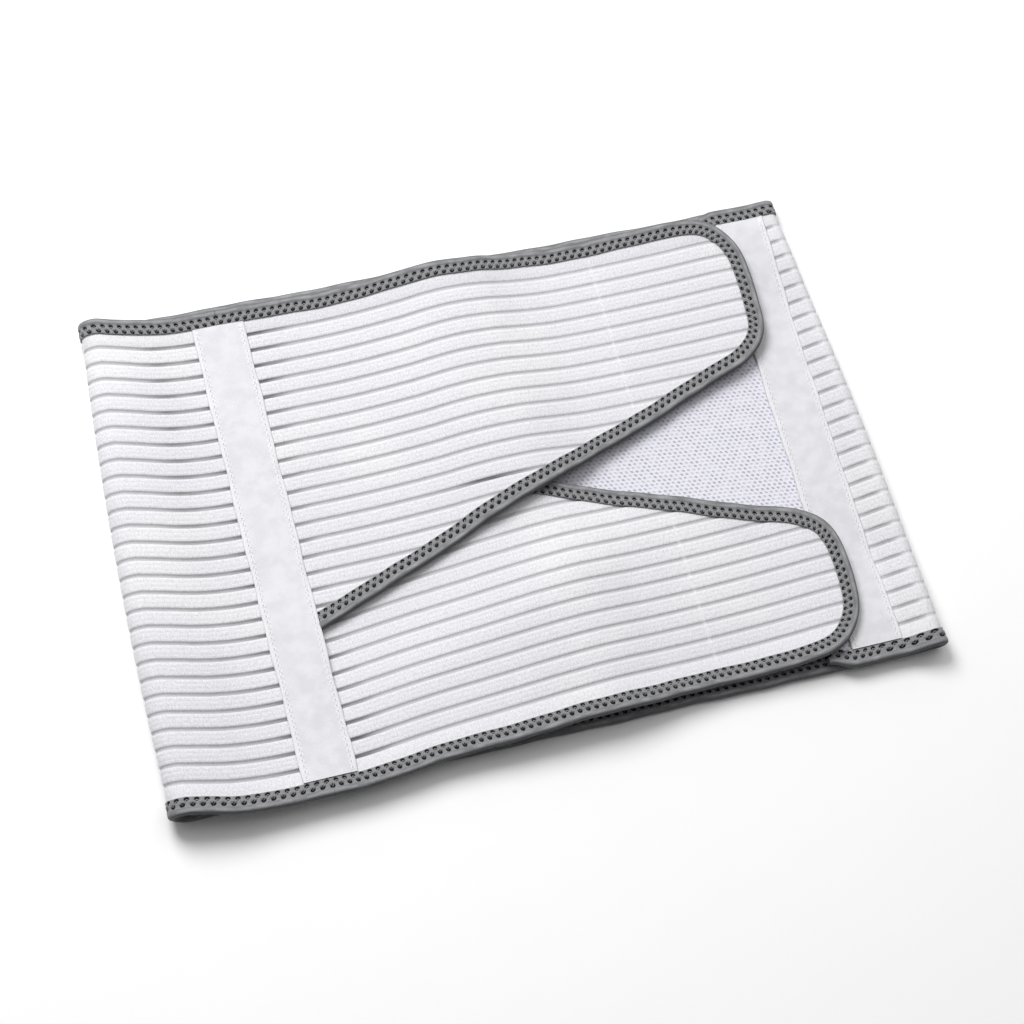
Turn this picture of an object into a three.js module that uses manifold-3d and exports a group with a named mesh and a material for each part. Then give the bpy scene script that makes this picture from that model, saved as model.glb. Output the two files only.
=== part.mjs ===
// An abdominal binder of ribbed elastic, closed on itself and lying flat on its back.
// Millimetres. +X runs along the band, +Y across its height and +Z up from the surface below.
import * as THREE from 'three';
import { mergeVertices } from 'three/addons/utils/BufferGeometryUtils.js';
import Module from 'manifold-3d';

const wasm = await Module();
wasm.setup();

// The closed band
const bandHeight = 242; // bound edge to bound edge
const foldSpan = 363.5; // left fold to right fold, halfway up
const leftFlare = { top: 8.5, bottom: -1.5 }; // how far the left fold leans off its middle
const rightFlare = { top: -9.5, bottom: 4 };

// Cloth walls and the gap that separate pieces keep
const elasticWall = 1.5;
const bindingWall = 1;
const tapeWall = 1;
const loopWall = 1.2;
const hookWall = 1;
const clearance = 0.3;

// Ribs of the elastic
const ribPitch = 8.15;
const firstGroove = 15; // from the bound edge
const grooveWidth = 2;
const grooveDepth = 0.6;

// Sewn pieces
const bindingWidth = 8;
const bindingChamfer = 0.7;
const tapeWidth = 25;
const leftTapeInset = 70.45; // left fold to the middle of the left tape
const rightTapeInset = 27.95; // right fold to the middle of the right tape
const loopPanelLength = 146;
const loopPanelInset = 13; // from the band's edge where no binding holds it
const boundRun = 25; // how far the body's bindings hold the loop panel, from its seam on
const boundTuck = 4; // how far that stretch draws in towards the middle at its end
const hookPadLength = 78; // back from the nose of a tab
const hookPadInset = 1.6; // from the binding

// The two tabs: how far the nose stops short of the right tape's middle, and the heights of the
// slanted edge, counted from the middle towards the tab's own side
const tabs = {
  upper: { side: 1, noseGap: 3.7, edgeAtSeam: -48.4, edgeAtNose: 46.8 },
  lower: { side: -1, noseGap: 1.5, edgeAtSeam: -46.7, edgeAtNose: 53.1 },
};
const noseCorner = { run: 32, drop: 40 }; // where the nose turns into the band's edge
const slantCorner = { run: 21, drop: 20 }; // where the nose turns into the slanted edge

// How the closed band lies
const archRise = 11.5; // crest of the tabs above the layers that they lie on
const rightRise = 7; // crest of the right fold above the same
const frontSlide = 5.4; // how far the front has slid down over the back
const loopFollow = 0.2; // share of the tabs' arch that the loop panel takes part in
const dropReach = 52; // how far the lower tab needs to come up from under the upper one
const crossingReach = 40; // half length of the extra drop where the two bindings cross
const seatReach = 52; // length over which the loop panel comes down from its bound run

// The left front, from the tape's middle (0) to the top of the left fold (1). top, middle and
// bottom are shares of archRise, slide of frontSlide.
const loopRows = [
  { at: 0.0, top: 0.36, middle: 0.0, bottom: 0.32, slide: 1.0 },
  { at: 0.2, top: 0.36, middle: 0.0, bottom: 0.33, slide: 1.0 },
  { at: 0.36, top: 0.4, middle: 0.08, bottom: 0.38, slide: 0.99 },
  { at: 0.52, top: 0.49, middle: 0.27, bottom: 0.47, slide: 0.91 },
  { at: 0.68, top: 0.62, middle: 0.54, bottom: 0.6, slide: 0.74 },
  { at: 0.84, top: 0.74, middle: 0.75, bottom: 0.73, slide: 0.4 },
  { at: 1.0, top: 0.79, middle: 0.81, bottom: 0.79, slide: 0.0 },
];

// The tabs, from the tape's middle (0) to the nose (1). perch columns are shares of the height
// of the bound edge and the tape under the noses, lean is the lower tab's slide.
const tabRows = [
  { at: 0.0, top: 0.36, middle: 0.0, bottom: 0.32, perchEdge: 0, perchMiddle: 0, lean: 1.0 },
  { at: 0.06, top: 0.27, middle: 0.0, bottom: 0.3, perchEdge: 0, perchMiddle: 0, lean: 0.97 },
  { at: 0.2, top: 0.17, middle: 0.02, bottom: 0.3, perchEdge: 0, perchMiddle: 0, lean: 0.36 },
  { at: 0.32, top: 0.54, middle: 0.3, bottom: 0.45, perchEdge: 0, perchMiddle: 0, lean: 0.09 },
  { at: 0.38, top: 0.9, middle: 0.6, bottom: 0.53, perchEdge: 0, perchMiddle: 0, lean: -0.02 },
  { at: 0.43, top: 1.0, middle: 0.75, bottom: 0.61, perchEdge: 0, perchMiddle: 0, lean: -0.12 },
  { at: 0.49, top: 0.74, middle: 0.76, bottom: 0.68, perchEdge: 0, perchMiddle: 0, lean: -0.22 },
  { at: 0.525, top: 0.44, middle: 0.64, bottom: 0.67, perchEdge: 0, perchMiddle: 0, lean: -0.28 },
  { at: 0.565, top: 0.18, middle: 0.42, bottom: 0.58, perchEdge: 0, perchMiddle: 0, lean: -0.34 },
  { at: 0.62, top: 0.0, middle: 0.16, bottom: 0.38, perchEdge: 0, perchMiddle: 0, lean: -0.42 },
  { at: 0.73, top: 0.02, middle: 0.02, bottom: 0.18, perchEdge: 0.04, perchMiddle: 0, lean: -0.55 },
  { at: 0.84, top: 0.02, middle: 0.0, bottom: 0.06, perchEdge: 0.5, perchMiddle: 0, lean: -0.7 },
  { at: 0.92, top: 0.02, middle: 0.0, bottom: 0.04, perchEdge: 1.06, perchMiddle: 0.22, lean: -0.83 },
  { at: 1.0, top: 0.04, middle: 0.04, bottom: 0.04, perchEdge: 1.08, perchMiddle: 0.4, lean: -0.95 },
];

// The right front, from the right tape's middle (0) to the top of the right fold (1), as shares
// of rightRise.
const rightRows = [
  { at: 0.0, top: 0.0, middle: 0.02, bottom: 0.0 },
  { at: 0.5, top: 0.02, middle: 0.16, bottom: 0.1 },
  { at: 0.78, top: 0.1, middle: 0.74, bottom: 0.52 },
  { at: 1.0, top: 0.16, middle: 1.0, bottom: 0.74 },
];

// Slide of the folds and the back, from the left fold's top (0) to the right front (4)
const slideRows = [
  { at: 0, slide: 0.0 },
  { at: 0.5, slide: -0.22 },
  { at: 1, slide: -0.1 },
  { at: 2, slide: 0.3 },
  { at: 3, slide: 0.45 },
  { at: 4, slide: 0.45 },
];

const cutTolerance = 0.05; // shortest edge that a cut may leave
const normalStep = 0.05; // each way from a point where a surface's normal is taken
const placeStep = 0.004; // the same along the closed band's run
const leftFoldSteps = 6;
const rightFoldSteps = 4;
const backSteps = 1;

// Places that follow from the sizes
const halfHeight = bandHeight / 2;
const halfSpan = foldSpan / 2;
const leftSeam = -halfSpan + leftTapeInset;
const rightSeam = halfSpan - rightTapeInset;
const bindingHalf = elasticWall / 2 + clearance + bindingWall;
const boundInset = bindingWall + clearance; // from a bound edge to the cloth inside it
const layerDrop = elasticWall + bindingWall + 3 * clearance;
const crossingDrop = bindingWall + 2 * clearance;
const loopSeat = elasticWall / 2 + clearance + loopWall / 2; // above the back's middle
const tabSeat = elasticWall + clearance + bindingHalf + layerDrop;
const edgeSeat = 3 * bindingHalf + clearance;
const perchHeight = 2 * bindingHalf + clearance;
for (const tab of Object.values(tabs)) tab.reach = rightSeam - leftSeam - tab.noseGap;
const grooveCount = Math.round((bandHeight - 2 * firstGroove) / ribPitch) + 1;
const bendPlaces = tabRows.map((row) => leftSeam + row.at * tabs.upper.reach);

const smooth = (low, high, value) => THREE.MathUtils.smoothstep(value, low, high);
const mix = THREE.MathUtils.lerp;

// Value of a column of a table at a place along it, smooth through every row
function column(rows, name, place) {
  const last = rows.length - 1;
  let i = 0;
  while (i < last - 1 && place > rows[i + 1].at) i += 1;
  const slopeAt = (k) => {
    const before = rows[Math.max(k - 1, 0)];
    const after = rows[Math.min(k + 1, last)];
    return (after[name] - before[name]) / (after.at - before.at);
  };
  const gap = rows[i + 1].at - rows[i].at;
  const t = THREE.MathUtils.clamp((place - rows[i].at) / gap, 0, 1);
  const t2 = t * t;
  const t3 = t2 * t;
  return (2 * t3 - 3 * t2 + 1) * rows[i][name] + (t3 - 2 * t2 + t) * gap * slopeAt(i)
    + (3 * t2 - 2 * t3) * rows[i + 1][name] + (t3 - t2) * gap * slopeAt(i + 1);
}

// Curve through three values across the height, t from -1 at the bottom to 1 at the top
function across(t, top, middle, bottom) {
  return middle + (top - bottom) / 2 * t + ((top + bottom) / 2 - middle) * t * t;
}

function rowAcross(rows, place, t) {
  const [top, middle, bottom] = ['top', 'middle', 'bottom'].map((name) => column(rows, name, place));
  return across(t, top, middle, bottom);
}

// 0 over the middle of the height, 1 where the bindings run
const nearEdge = (t) => smooth(0.5, 0.92, Math.abs(t));

const backLevel = (t) => mix(elasticWall / 2, bindingHalf, nearEdge(t));
const loopLevel = (t) => backLevel(t) + loopSeat;
const rightSeat = (t) => mix(loopLevel(t), edgeSeat, nearEdge(t));
const leftFoldTop = (t) => tabSeat + archRise * rowAcross(loopRows, 1, t);
const rightFoldTop = (t) => rightSeat(t) + rightRise * rowAcross(rightRows, 1, t);

// Middle of a fold's arc: where it stands along the band and its radius
function leftFold(t) {
  const radius = (leftFoldTop(t) - backLevel(t)) / 2;
  return { radius, x: -halfSpan + across(t, leftFlare.top, 0, leftFlare.bottom) + radius };
}

function rightFold(t) {
  const radius = (rightFoldTop(t) - backLevel(t)) / 2;
  return { radius, x: halfSpan + across(t, rightFlare.top, 0, rightFlare.bottom) - radius };
}

// The band as one closed run of cloth. place goes 0 to 1 over the left front, 1 to 2 round the
// left fold, 2 to 3 along the back, 3 to 4 round the right fold, 4 to 5 over the right front and
// 5 to 6 along the bound stretch of the loop panel.
function bandMiddle(place, v) {
  const t = v / halfHeight;
  const zone = Math.min(Math.floor(place), 5);
  const p = place - zone;
  const left = leftFold(t);
  const right = rightFold(t);
  const slide = zone === 0 ? column(loopRows, 'slide', p) : column(slideRows, 'slide', place - 1);
  const y = v - frontSlide * slide;
  if (zone === 0) {
    const level = tabSeat + archRise * rowAcross(loopRows, p, t);
    return new THREE.Vector3(mix(leftSeam, left.x, p), y, level);
  }
  if (zone === 1 || zone === 3) {
    const fold = zone === 1 ? left : right;
    const turn = Math.PI * (zone === 1 ? 0.5 + p : 1.5 + p);
    const rise = fold.radius * (1 + Math.sin(turn));
    return new THREE.Vector3(fold.x + fold.radius * Math.cos(turn), y, backLevel(t) + rise);
  }
  if (zone === 2) {
    return new THREE.Vector3(mix(left.x, right.x, p), y, backLevel(t));
  }
  if (zone === 4) return loopMiddle(mix(right.x, rightSeam, p), y);
  return loopMiddle(rightSeam - p * boundRun, y);
}

// Middle of the front's top layer at a plan place: the left front and, past its seam, the tabs
function frontMiddle(x, y) {
  const t = (y + frontSlide) / halfHeight;
  if (x < leftSeam) {
    const p = (x - leftSeam) / (leftFold(t).x - leftSeam);
    return new THREE.Vector3(x, y, tabSeat + archRise * rowAcross(loopRows, p, t));
  }
  const p = (x - leftSeam) / tabs.upper.reach;
  const edge = column(tabRows, 'perchEdge', p);
  const perch = perchHeight * across(t, edge, column(tabRows, 'perchMiddle', p), edge);
  return new THREE.Vector3(x, y, tabSeat + archRise * rowAcross(tabRows, p, t) + perch);
}

// Middle of the loop panel and the cloth under the right tape at a plan place
function loopMiddle(x, y) {
  const rightSlide = frontSlide * column(slideRows, 'slide', 4);
  const t = (y + rightSlide) / halfHeight;
  const toTape = smooth(rightSeam - boundRun - seatReach, rightSeam - boundRun, x);
  const seat = mix(loopLevel(t), rightSeat(t), toTape);
  if (x > rightSeam) {
    const p = (x - rightSeam) / (rightFold(t).x - rightSeam);
    return new THREE.Vector3(x, y, seat + rightRise * rowAcross(rightRows, p, t));
  }
  const arch = archRise * loopFollow * rowAcross(tabRows, (x - leftSeam) / tabs.upper.reach, t);
  const flat = rightRise * rowAcross(rightRows, 0, t);
  return new THREE.Vector3(x, y, seat + mix(arch, flat, smooth(rightSeam - boundRun, rightSeam, x)));
}

// A point off a surface along its normal
function lifted(middle, a, b, height) {
  const alongA = middle(a + normalStep, b).sub(middle(a - normalStep, b));
  const alongB = middle(a, b + normalStep).sub(middle(a, b - normalStep));
  const normal = alongA.cross(alongB).normalize();
  return middle(a, b).addScaledVector(normal, height);
}

// The band's own normal points out of the tube all the way round
function bandPoint(place, v, height) {
  const first = Math.max(place - placeStep, 0);
  const second = Math.min(place + placeStep, 6);
  const alongBand = bandMiddle(second, v).sub(bandMiddle(first, v));
  const alongHeight = bandMiddle(place, v + normalStep).sub(bandMiddle(place, v - normalStep));
  const normal = alongHeight.cross(alongBand).normalize();
  return bandMiddle(place, v).addScaledVector(normal, height);
}

const slantAt = (tab, x) => {
  const share = (x - leftSeam) / tab.reach;
  return tab.side * mix(tab.edgeAtSeam, tab.edgeAtNose, share);
};

const upperSlide = () => -frontSlide;
const lowerSlide = (x) => -frontSlide * column(tabRows, 'lean', (x - leftSeam) / tabs.upper.reach);

// Where the bindings on the slanted edges of the tabs cross, along their middles
function crossingPlace() {
  let low = leftSeam;
  let high = leftSeam + tabs.upper.reach;
  for (let i = 0; i < 40; i += 1) {
    const x = (low + high) / 2;
    const lowerEdge = slantAt(tabs.lower, x) + lowerSlide(x);
    const upperEdge = slantAt(tabs.upper, x) + upperSlide();
    if (lowerEdge > upperEdge + bindingWidth) low = x;
    else high = x;
  }
  return (low + high) / 2;
}
const crossing = crossingPlace();

// How far the lower tab lies below the front's top layer
function lowerDrop(x, y) {
  const below = slantAt(tabs.upper, x) + upperSlide() - y;
  const under = 1 - smooth(bindingChamfer, dropReach, below);
  const atCrossing = 1 - smooth(2 * bindingWidth, crossingReach, Math.abs(x - crossing));
  return under * (layerDrop + crossingDrop * atCrossing);
}

function lowerMiddle(x, y) {
  const middle = frontMiddle(x, y);
  middle.z -= lowerDrop(x, y);
  return middle;
}

Object.assign(tabs.upper, { slide: upperSlide, middle: frontMiddle });
Object.assign(tabs.lower, { slide: lowerSlide, middle: lowerMiddle });

const tabPoint = (tab, x, v, height) => lifted(tab.middle, x, v + tab.slide(x), height);

const loopPoint = (x, y, height) => lifted(loopMiddle, x, y, height);

// Ribbed face of the elastic between two heights: a flat rib, then a groove, and so on
function ribProfile(low, high) {
  const points = [{ v: low, relief: 0 }];
  for (let i = 0; i < grooveCount; i += 1) {
    const groove = (i - (grooveCount - 1) / 2) * ribPitch;
    if (groove - grooveWidth > low && groove + grooveWidth < high) {
      points.push({ v: groove - grooveWidth / 2, relief: 0 });
      points.push({ v: groove, relief: -grooveDepth });
      points.push({ v: groove + grooveWidth / 2, relief: 0 });
    }
  }
  points.push({ v: high, relief: 0 });
  return points;
}

// Plain face: a few lines across the height, closer where the edge is lifted
function plainProfile(low, high) {
  const shares = [-0.92, -0.83, -0.74, -0.65, -0.5, -0.25, 0, 0.25, 0.5, 0.65, 0.74, 0.83, 0.92];
  const lines = shares.map((share) => share * halfHeight);
  return [low, ...lines.filter((v) => v > low + 1 && v < high - 1), high].map((v) => ({ v, relief: 0 }));
}

function geometryFrom(points, faces) {
  const geometry = new THREE.BufferGeometry();
  const numbers = points.flatMap((p) => p.toArray());
  geometry.setAttribute('position', new THREE.Float32BufferAttribute(numbers, 3));
  geometry.setIndex(faces.flat());
  return outwards(geometry);
}

// Turns every face when they point into the solid
function outwards(geometry) {
  const place = geometry.getAttribute('position');
  const index = geometry.getIndex().array;
  const corner = (i) => new THREE.Vector3().fromBufferAttribute(place, index[i]);
  let volume = 0;
  for (let i = 0; i < index.length; i += 3) {
    volume += corner(i).dot(corner(i + 1).cross(corner(i + 2)));
  }
  if (volume < 0) {
    const turned = Array.from(index);
    for (let i = 0; i < turned.length; i += 3) {
      [turned[i], turned[i + 1]] = [turned[i + 1], turned[i]];
    }
    geometry.setIndex(turned);
  }
  return geometry;
}

// Faces between two lines of points that may have different counts
function stitch(first, second, firstAt, secondAt, faces) {
  let a = 0;
  let b = 0;
  while (a < first.length - 1 || b < second.length - 1) {
    const secondDone = b === second.length - 1;
    if (secondDone || (a < first.length - 1 && firstAt[a + 1] <= secondAt[b + 1])) {
      faces.push([first[a], first[a + 1], second[b]]);
      a += 1;
    } else {
      faces.push([first[a], second[b + 1], second[b]]);
      b += 1;
    }
  }
}

// A closed sheet of cloth: its face and its reverse may have different lines across
function clothSolid(places, face, reverse, wall, point) {
  const points = [];
  const faces = [];
  const grid = (profile, side) => places.map((place) => profile.map(({ v, relief }) => {
    points.push(point(place, v, side * (wall / 2 + relief)));
    return points.length - 1;
  }));
  const front = grid(face, 1);
  const back = grid(reverse, -1);
  const quad = (a, b, c, d) => faces.push([a, b, c], [a, c, d]);
  for (let i = 0; i + 1 < places.length; i += 1) {
    for (let j = 0; j + 1 < face.length; j += 1) {
      quad(front[i][j], front[i + 1][j], front[i + 1][j + 1], front[i][j + 1]);
    }
    for (let j = 0; j + 1 < reverse.length; j += 1) {
      quad(back[i][j], back[i][j + 1], back[i + 1][j + 1], back[i + 1][j]);
    }
    const lastFace = face.length - 1;
    const lastBack = reverse.length - 1;
    quad(front[i][0], back[i][0], back[i + 1][0], front[i + 1][0]);
    quad(front[i][lastFace], front[i + 1][lastFace], back[i + 1][lastBack], back[i][lastBack]);
  }
  const faceAt = face.map(({ v }) => v);
  const backAt = reverse.map(({ v }) => v);
  const startCap = [];
  const endCap = [];
  stitch(front[0], back[0], faceAt, backAt, startCap);
  stitch(front.at(-1), back.at(-1), faceAt, backAt, endCap);
  faces.push(...startCap, ...endCap.map(([a, b, c]) => [a, c, b]));
  return geometryFrom(points, faces);
}

// Section of a binding folded over an edge: inward distance from the edge, height off the middle
function bindingSection() {
  const h = bindingHalf;
  const c = bindingChamfer;
  const slot = h - bindingWall;
  const outline = [
    [bindingWidth, h], [c, h], [0, h - c], [0, c - h], [c, -h], [bindingWidth, -h],
    [bindingWidth, -slot], [bindingWall, -slot], [bindingWall, slot], [bindingWidth, slot],
  ];
  return outline.map(([inward, height]) => new THREE.Vector2(inward, height));
}

// A binding swept along an edge: point(station, inward, height) gives each corner
function bindingSolid(stations, point) {
  const section = bindingSection();
  const count = section.length;
  const points = stations.flatMap((station) => section.map((p) => point(station, p.x, p.y)));
  const faces = [];
  for (let i = 0; i + 1 < stations.length; i += 1) {
    for (let j = 0; j < count; j += 1) {
      const k = (j + 1) % count;
      const [a, b, c, d] = [i * count + j, i * count + k, (i + 1) * count + k, (i + 1) * count + j];
      faces.push([a, b, c], [a, c, d]);
    }
  }
  const cap = THREE.ShapeUtils.triangulateShape(section, []);
  const end = (stations.length - 1) * count;
  const forward = THREE.ShapeUtils.isClockWise(section);
  for (const [a, b, c] of cap) {
    faces.push(forward ? [a, b, c] : [a, c, b]);
    faces.push(forward ? [end + a, end + c, end + b] : [end + a, end + b, end + c]);
  }
  return geometryFrom(points, faces);
}

// Stations round the closed band, from the left seam to the right one
function bandStations() {
  const round = (start, steps) => Array.from({ length: steps }, (_, i) => start + (i + 1) / steps);
  return [
    ...loopRows.map((row) => row.at),
    ...round(1, leftFoldSteps),
    ...round(2, backSteps),
    ...round(3, rightFoldSteps),
    ...rightRows.slice(0, -1).reverse().map((row) => 5 - row.at),
  ];
}

// Shortens a run of stations at both ends so that its pieces stop short of the seams
function trimmed(stations, startGap, endGap) {
  return stations.map((place, i) => {
    if (i === 0) return place + startGap;
    if (i === stations.length - 1) return place - endGap;
    return place;
  });
}

// Half the gap at a seam as a share of the zone that ends there
const leftZoneLength = leftSeam - leftFold(0).x;
const rightZoneLength = rightFold(0).x - rightSeam;

function bodyPanel() {
  const startGap = clearance / 2 / leftZoneLength;
  const endGap = clearance / 2 / rightZoneLength;
  const stations = trimmed(bandStations(), startGap, endGap);
  const edge = halfHeight - boundInset;
  return clothSolid(stations, ribProfile(-edge, edge), plainProfile(-edge, edge), elasticWall, bandPoint);
}

// How far the bound edges of the loop panel have drawn in: not under the tape, then more and more
function tuckAt(x) {
  return boundTuck * (1 - smooth(rightSeam - boundRun, rightSeam - tapeWidth / 2, x));
}

function bodyBinding(side) {
  const tapeEdge = 5 + tapeWidth / 2 / boundRun;
  const bound = [tapeEdge, mix(tapeEdge, 6, 0.5), 6];
  const stations = [...trimmed(bandStations(), clearance / 2 / leftZoneLength, 0), ...bound];
  const point = (place, inward, height) => {
    const tuck = place > 5 ? tuckAt(rightSeam - (place - 5) * boundRun) : 0;
    return bandPoint(place, side * (halfHeight - inward - tuck), height);
  };
  return bindingSolid(stations, point);
}

// Outline of a tab from the seam along its long edge, round the nose and back down the slant
function tabPath(tab) {
  const nose = leftSeam + tab.reach;
  const top = halfHeight;
  const low = tab.edgeAtNose;
  const slope = (tab.edgeAtNose - tab.edgeAtSeam) / tab.reach;
  const path = new THREE.CurvePath();
  const at = (x, y) => new THREE.Vector2(x, y);
  const onSlant = (x) => at(x, tab.edgeAtNose + slope * (x - nose));
  path.add(new THREE.LineCurve(at(leftSeam, top), at(nose - noseCorner.run, top)));
  path.add(new THREE.QuadraticBezierCurve(
    at(nose - noseCorner.run, top), at(nose, top), at(nose, top - noseCorner.drop)));
  path.add(new THREE.LineCurve(at(nose, top - noseCorner.drop), at(nose, low + slantCorner.drop)));
  path.add(new THREE.QuadraticBezierCurve(
    at(nose, low + slantCorner.drop), at(nose, low), onSlant(nose - slantCorner.run)));
  path.add(new THREE.LineCurve(onSlant(nose - slantCorner.run), onSlant(leftSeam)));
  return path;
}

// Points along a tab's outline with their inward directions. Straight edges have a point at
// every row of the table, corners a few between.
function tabEdge(tab) {
  const [long, corner, front, turn, slant] = tabPath(tab).curves;
  const places = [];
  const add = (curve, share) => {
    const tangent = curve.getTangent(share);
    places.push({ at: curve.getPoint(share), inward: new THREE.Vector2(tangent.y, -tangent.x) });
  };
  // Sections of a straight edge stand across the band, where the cloth bends
  const straight = (curve) => {
    const [start, end] = [curve.v1.x, curve.v2.x];
    const shares = bendPlaces.map((x) => (x - start) / (end - start));
    const inside = shares.filter((share) => share > 0.01 && share < 0.99);
    const first = places.length;
    [0, ...inside.sort((a, b) => a - b)].forEach((share) => add(curve, share));
    for (const place of places.slice(first)) place.inward.set(0, 1 / place.inward.y);
  };
  const bent = (curve, steps) => {
    for (let i = 0; i < steps; i += 1) add(curve, i / steps);
  };
  straight(long);
  bent(corner, 5);
  bent(front, 1);
  bent(turn, 4);
  straight(slant);
  places.push({ at: slant.getPoint(1), inward: places.at(-1).inward.clone() });
  return places;
}

// Vertical prism over an outline drawn in from a tab's edge, from one place along the band on
function tabCutter(tab, inset, start) {
  const outline = tabEdge(tab).map(({ at, inward }) => at.clone().addScaledVector(inward, inset));
  const plan = outline.map(({ x, y }) => new THREE.Vector2(x, tab.side * y + tab.slide(x)));
  const tall = archRise * 4;
  const prism = new THREE.ExtrudeGeometry(new THREE.Shape(plan), { depth: tall, bevelEnabled: false });
  const keep = new THREE.BoxGeometry(tab.reach, 2 * bandHeight, tall);
  keep.translate(start + tab.reach / 2, 0, tall / 2);
  return toManifold(prism).intersect(toManifold(keep));
}

function toManifold(geometry) {
  const bare = geometry.clone();
  bare.deleteAttribute('normal');
  bare.deleteAttribute('uv');
  const merged = mergeVertices(bare, 1e-4);
  const mesh = new wasm.Mesh({
    numProp: 3,
    vertProperties: new Float32Array(merged.getAttribute('position').array),
    triVerts: new Uint32Array(merged.getIndex().array),
  });
  return new wasm.Manifold(mesh);
}

function fromManifold(solid) {
  const mesh = solid.simplify(cutTolerance).getMesh();
  const geometry = new THREE.BufferGeometry();
  geometry.setAttribute('position', new THREE.Float32BufferAttribute(mesh.vertProperties, 3));
  geometry.setIndex(Array.from(mesh.triVerts));
  return geometry;
}

// Places along a tab where its cloth bends
function tabStations(tab, start) {
  const nose = leftSeam + tab.reach;
  return [start, ...bendPlaces.filter((x) => x > start + 1 && x < nose - 1), nose];
}

// Plain face with one line behind every rib
function linedProfile(low, high) {
  const lines = [];
  for (let i = 0; i < grooveCount - 1; i += 1) {
    lines.push((i - (grooveCount - 2) / 2) * ribPitch);
  }
  return [low, ...lines.filter((v) => v > low + 1 && v < high - 1), high].map((v) => ({ v, relief: 0 }));
}

function tabCloth(tab) {
  const low = tab.side > 0 ? tab.edgeAtSeam - bindingWidth : -halfHeight;
  const high = tab.side > 0 ? halfHeight : bindingWidth - tab.edgeAtSeam;
  const start = leftSeam + clearance / 2;
  const point = (x, v, height) => tabPoint(tab, x, v, height);
  const face = ribProfile(low, high);
  const cloth = clothSolid(tabStations(tab, start), face, linedProfile(low, high), elasticWall, point);
  return fromManifold(toManifold(cloth).intersect(tabCutter(tab, boundInset, start - clearance)));
}

function tabBinding(tab) {
  const tapeEdge = leftSeam + tapeWidth / 2 + clearance;
  const edge = tabEdge(tab);
  const slantStart = edge.findLastIndex(({ at }) => at.x > tapeEdge);
  const stations = edge.slice(0, slantStart + 1);
  stations[0].at.x += clearance / 2;
  const last = edge[slantStart + 1];
  const share = (edge[slantStart].at.x - tapeEdge) / (edge[slantStart].at.x - last.at.x);
  stations.push({ at: edge[slantStart].at.clone().lerp(last.at, share), inward: last.inward });
  return bindingSolid(stations, ({ at, inward }, depth, height) => {
    const place = at.clone().addScaledVector(inward, depth);
    return tabPoint(tab, place.x, tab.side * place.y, height);
  });
}

function hookPad(tab) {
  const start = leftSeam + tab.reach - hookPadLength;
  const inset = bindingWidth + hookPadInset;
  const below = elasticWall / 2 + clearance + hookWall / 2;
  const low = tab.side > 0 ? 0 : -halfHeight;
  const high = tab.side > 0 ? halfHeight : 0;
  const profile = linedProfile(low, high);
  const point = (x, v, height) => tabPoint(tab, x, v, height - below);
  const pad = clothSolid(tabStations(tab, start), profile, profile, hookWall, point);
  return fromManifold(toManifold(pad).intersect(tabCutter(tab, inset, start - clearance)));
}

// A tape laid across the band over a seam, between the two bindings
function tape(seam, slide, point) {
  const end = halfHeight - bindingWidth - clearance;
  const above = elasticWall / 2 + clearance + tapeWall / 2;
  const along = linedProfile(-end, end).map(({ v }) => v);
  const width = [-tapeWidth / 2, 0, tapeWidth / 2].map((v) => ({ v, relief: 0 }));
  const laid = (v, x, height) => point(seam + x, v + slide, height + above);
  return clothSolid(along, width, width, tapeWall, laid);
}

const frontPoint = (x, y, height) => lifted(frontMiddle, x, y, height);
const leftTape = () => tape(leftSeam, -frontSlide, frontPoint);
const rightTape = () => tape(rightSeam, -frontSlide * column(slideRows, 'slide', 4), loopPoint);

// The soft panel that the hooks grip, from under the tabs to the right tape
function loopPanel() {
  const end = rightSeam - clearance / 2;
  const start = end - loopPanelLength;
  const inside = bendPlaces.filter((x) => x > start + 2 && x < end - 2);
  const slide = -frontSlide * column(slideRows, 'slide', 4);
  const bound = halfHeight - boundInset;
  const profile = plainProfile(-bound, bound);
  const held = rightSeam - boundRun - clearance;
  const point = (x, v, height) => {
    const free = 1 - smooth(held - bindingWidth, held, x);
    const edge = mix(bound - tuckAt(x), halfHeight - loopPanelInset, free);
    return loopPoint(x, v / bound * edge + slide, height);
  };
  const corners = [held - bindingWidth, held - bindingWidth / 2, held, held + bindingWidth / 2];
  const places = [start, ...inside, ...corners, end].sort((a, b) => a - b);
  return clothSolid(places, profile, profile, loopWall, point);
}

const white = new THREE.MeshStandardMaterial({ color: 0xeeeef0, roughness: 0.9, metalness: 0 });
const tapeWhite = new THREE.MeshStandardMaterial({ color: 0xebecf1, roughness: 0.85, metalness: 0 });
const loopWhite = new THREE.MeshStandardMaterial({ color: 0xe2e3ee, roughness: 0.95, metalness: 0 });
const hookWhite = new THREE.MeshStandardMaterial({ color: 0xe8e8ea, roughness: 0.7, metalness: 0 });
const grey = new THREE.MeshStandardMaterial({ color: 0x808183, roughness: 0.9, metalness: 0 });

const pieces = [
  ['body_panel', bodyPanel(), white],
  ['upper_tab', tabCloth(tabs.upper), white],
  ['lower_tab', tabCloth(tabs.lower), white],
  ['loop_panel', loopPanel(), loopWhite],
  ['left_tape', leftTape(), tapeWhite],
  ['right_tape', rightTape(), tapeWhite],
  ['body_top_binding', bodyBinding(1), grey],
  ['body_bottom_binding', bodyBinding(-1), grey],
  ['upper_tab_binding', tabBinding(tabs.upper), grey],
  ['lower_tab_binding', tabBinding(tabs.lower), grey],
  ['upper_hook_pad', hookPad(tabs.upper), hookWhite],
  ['lower_hook_pad', hookPad(tabs.lower), hookWhite],
];

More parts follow.
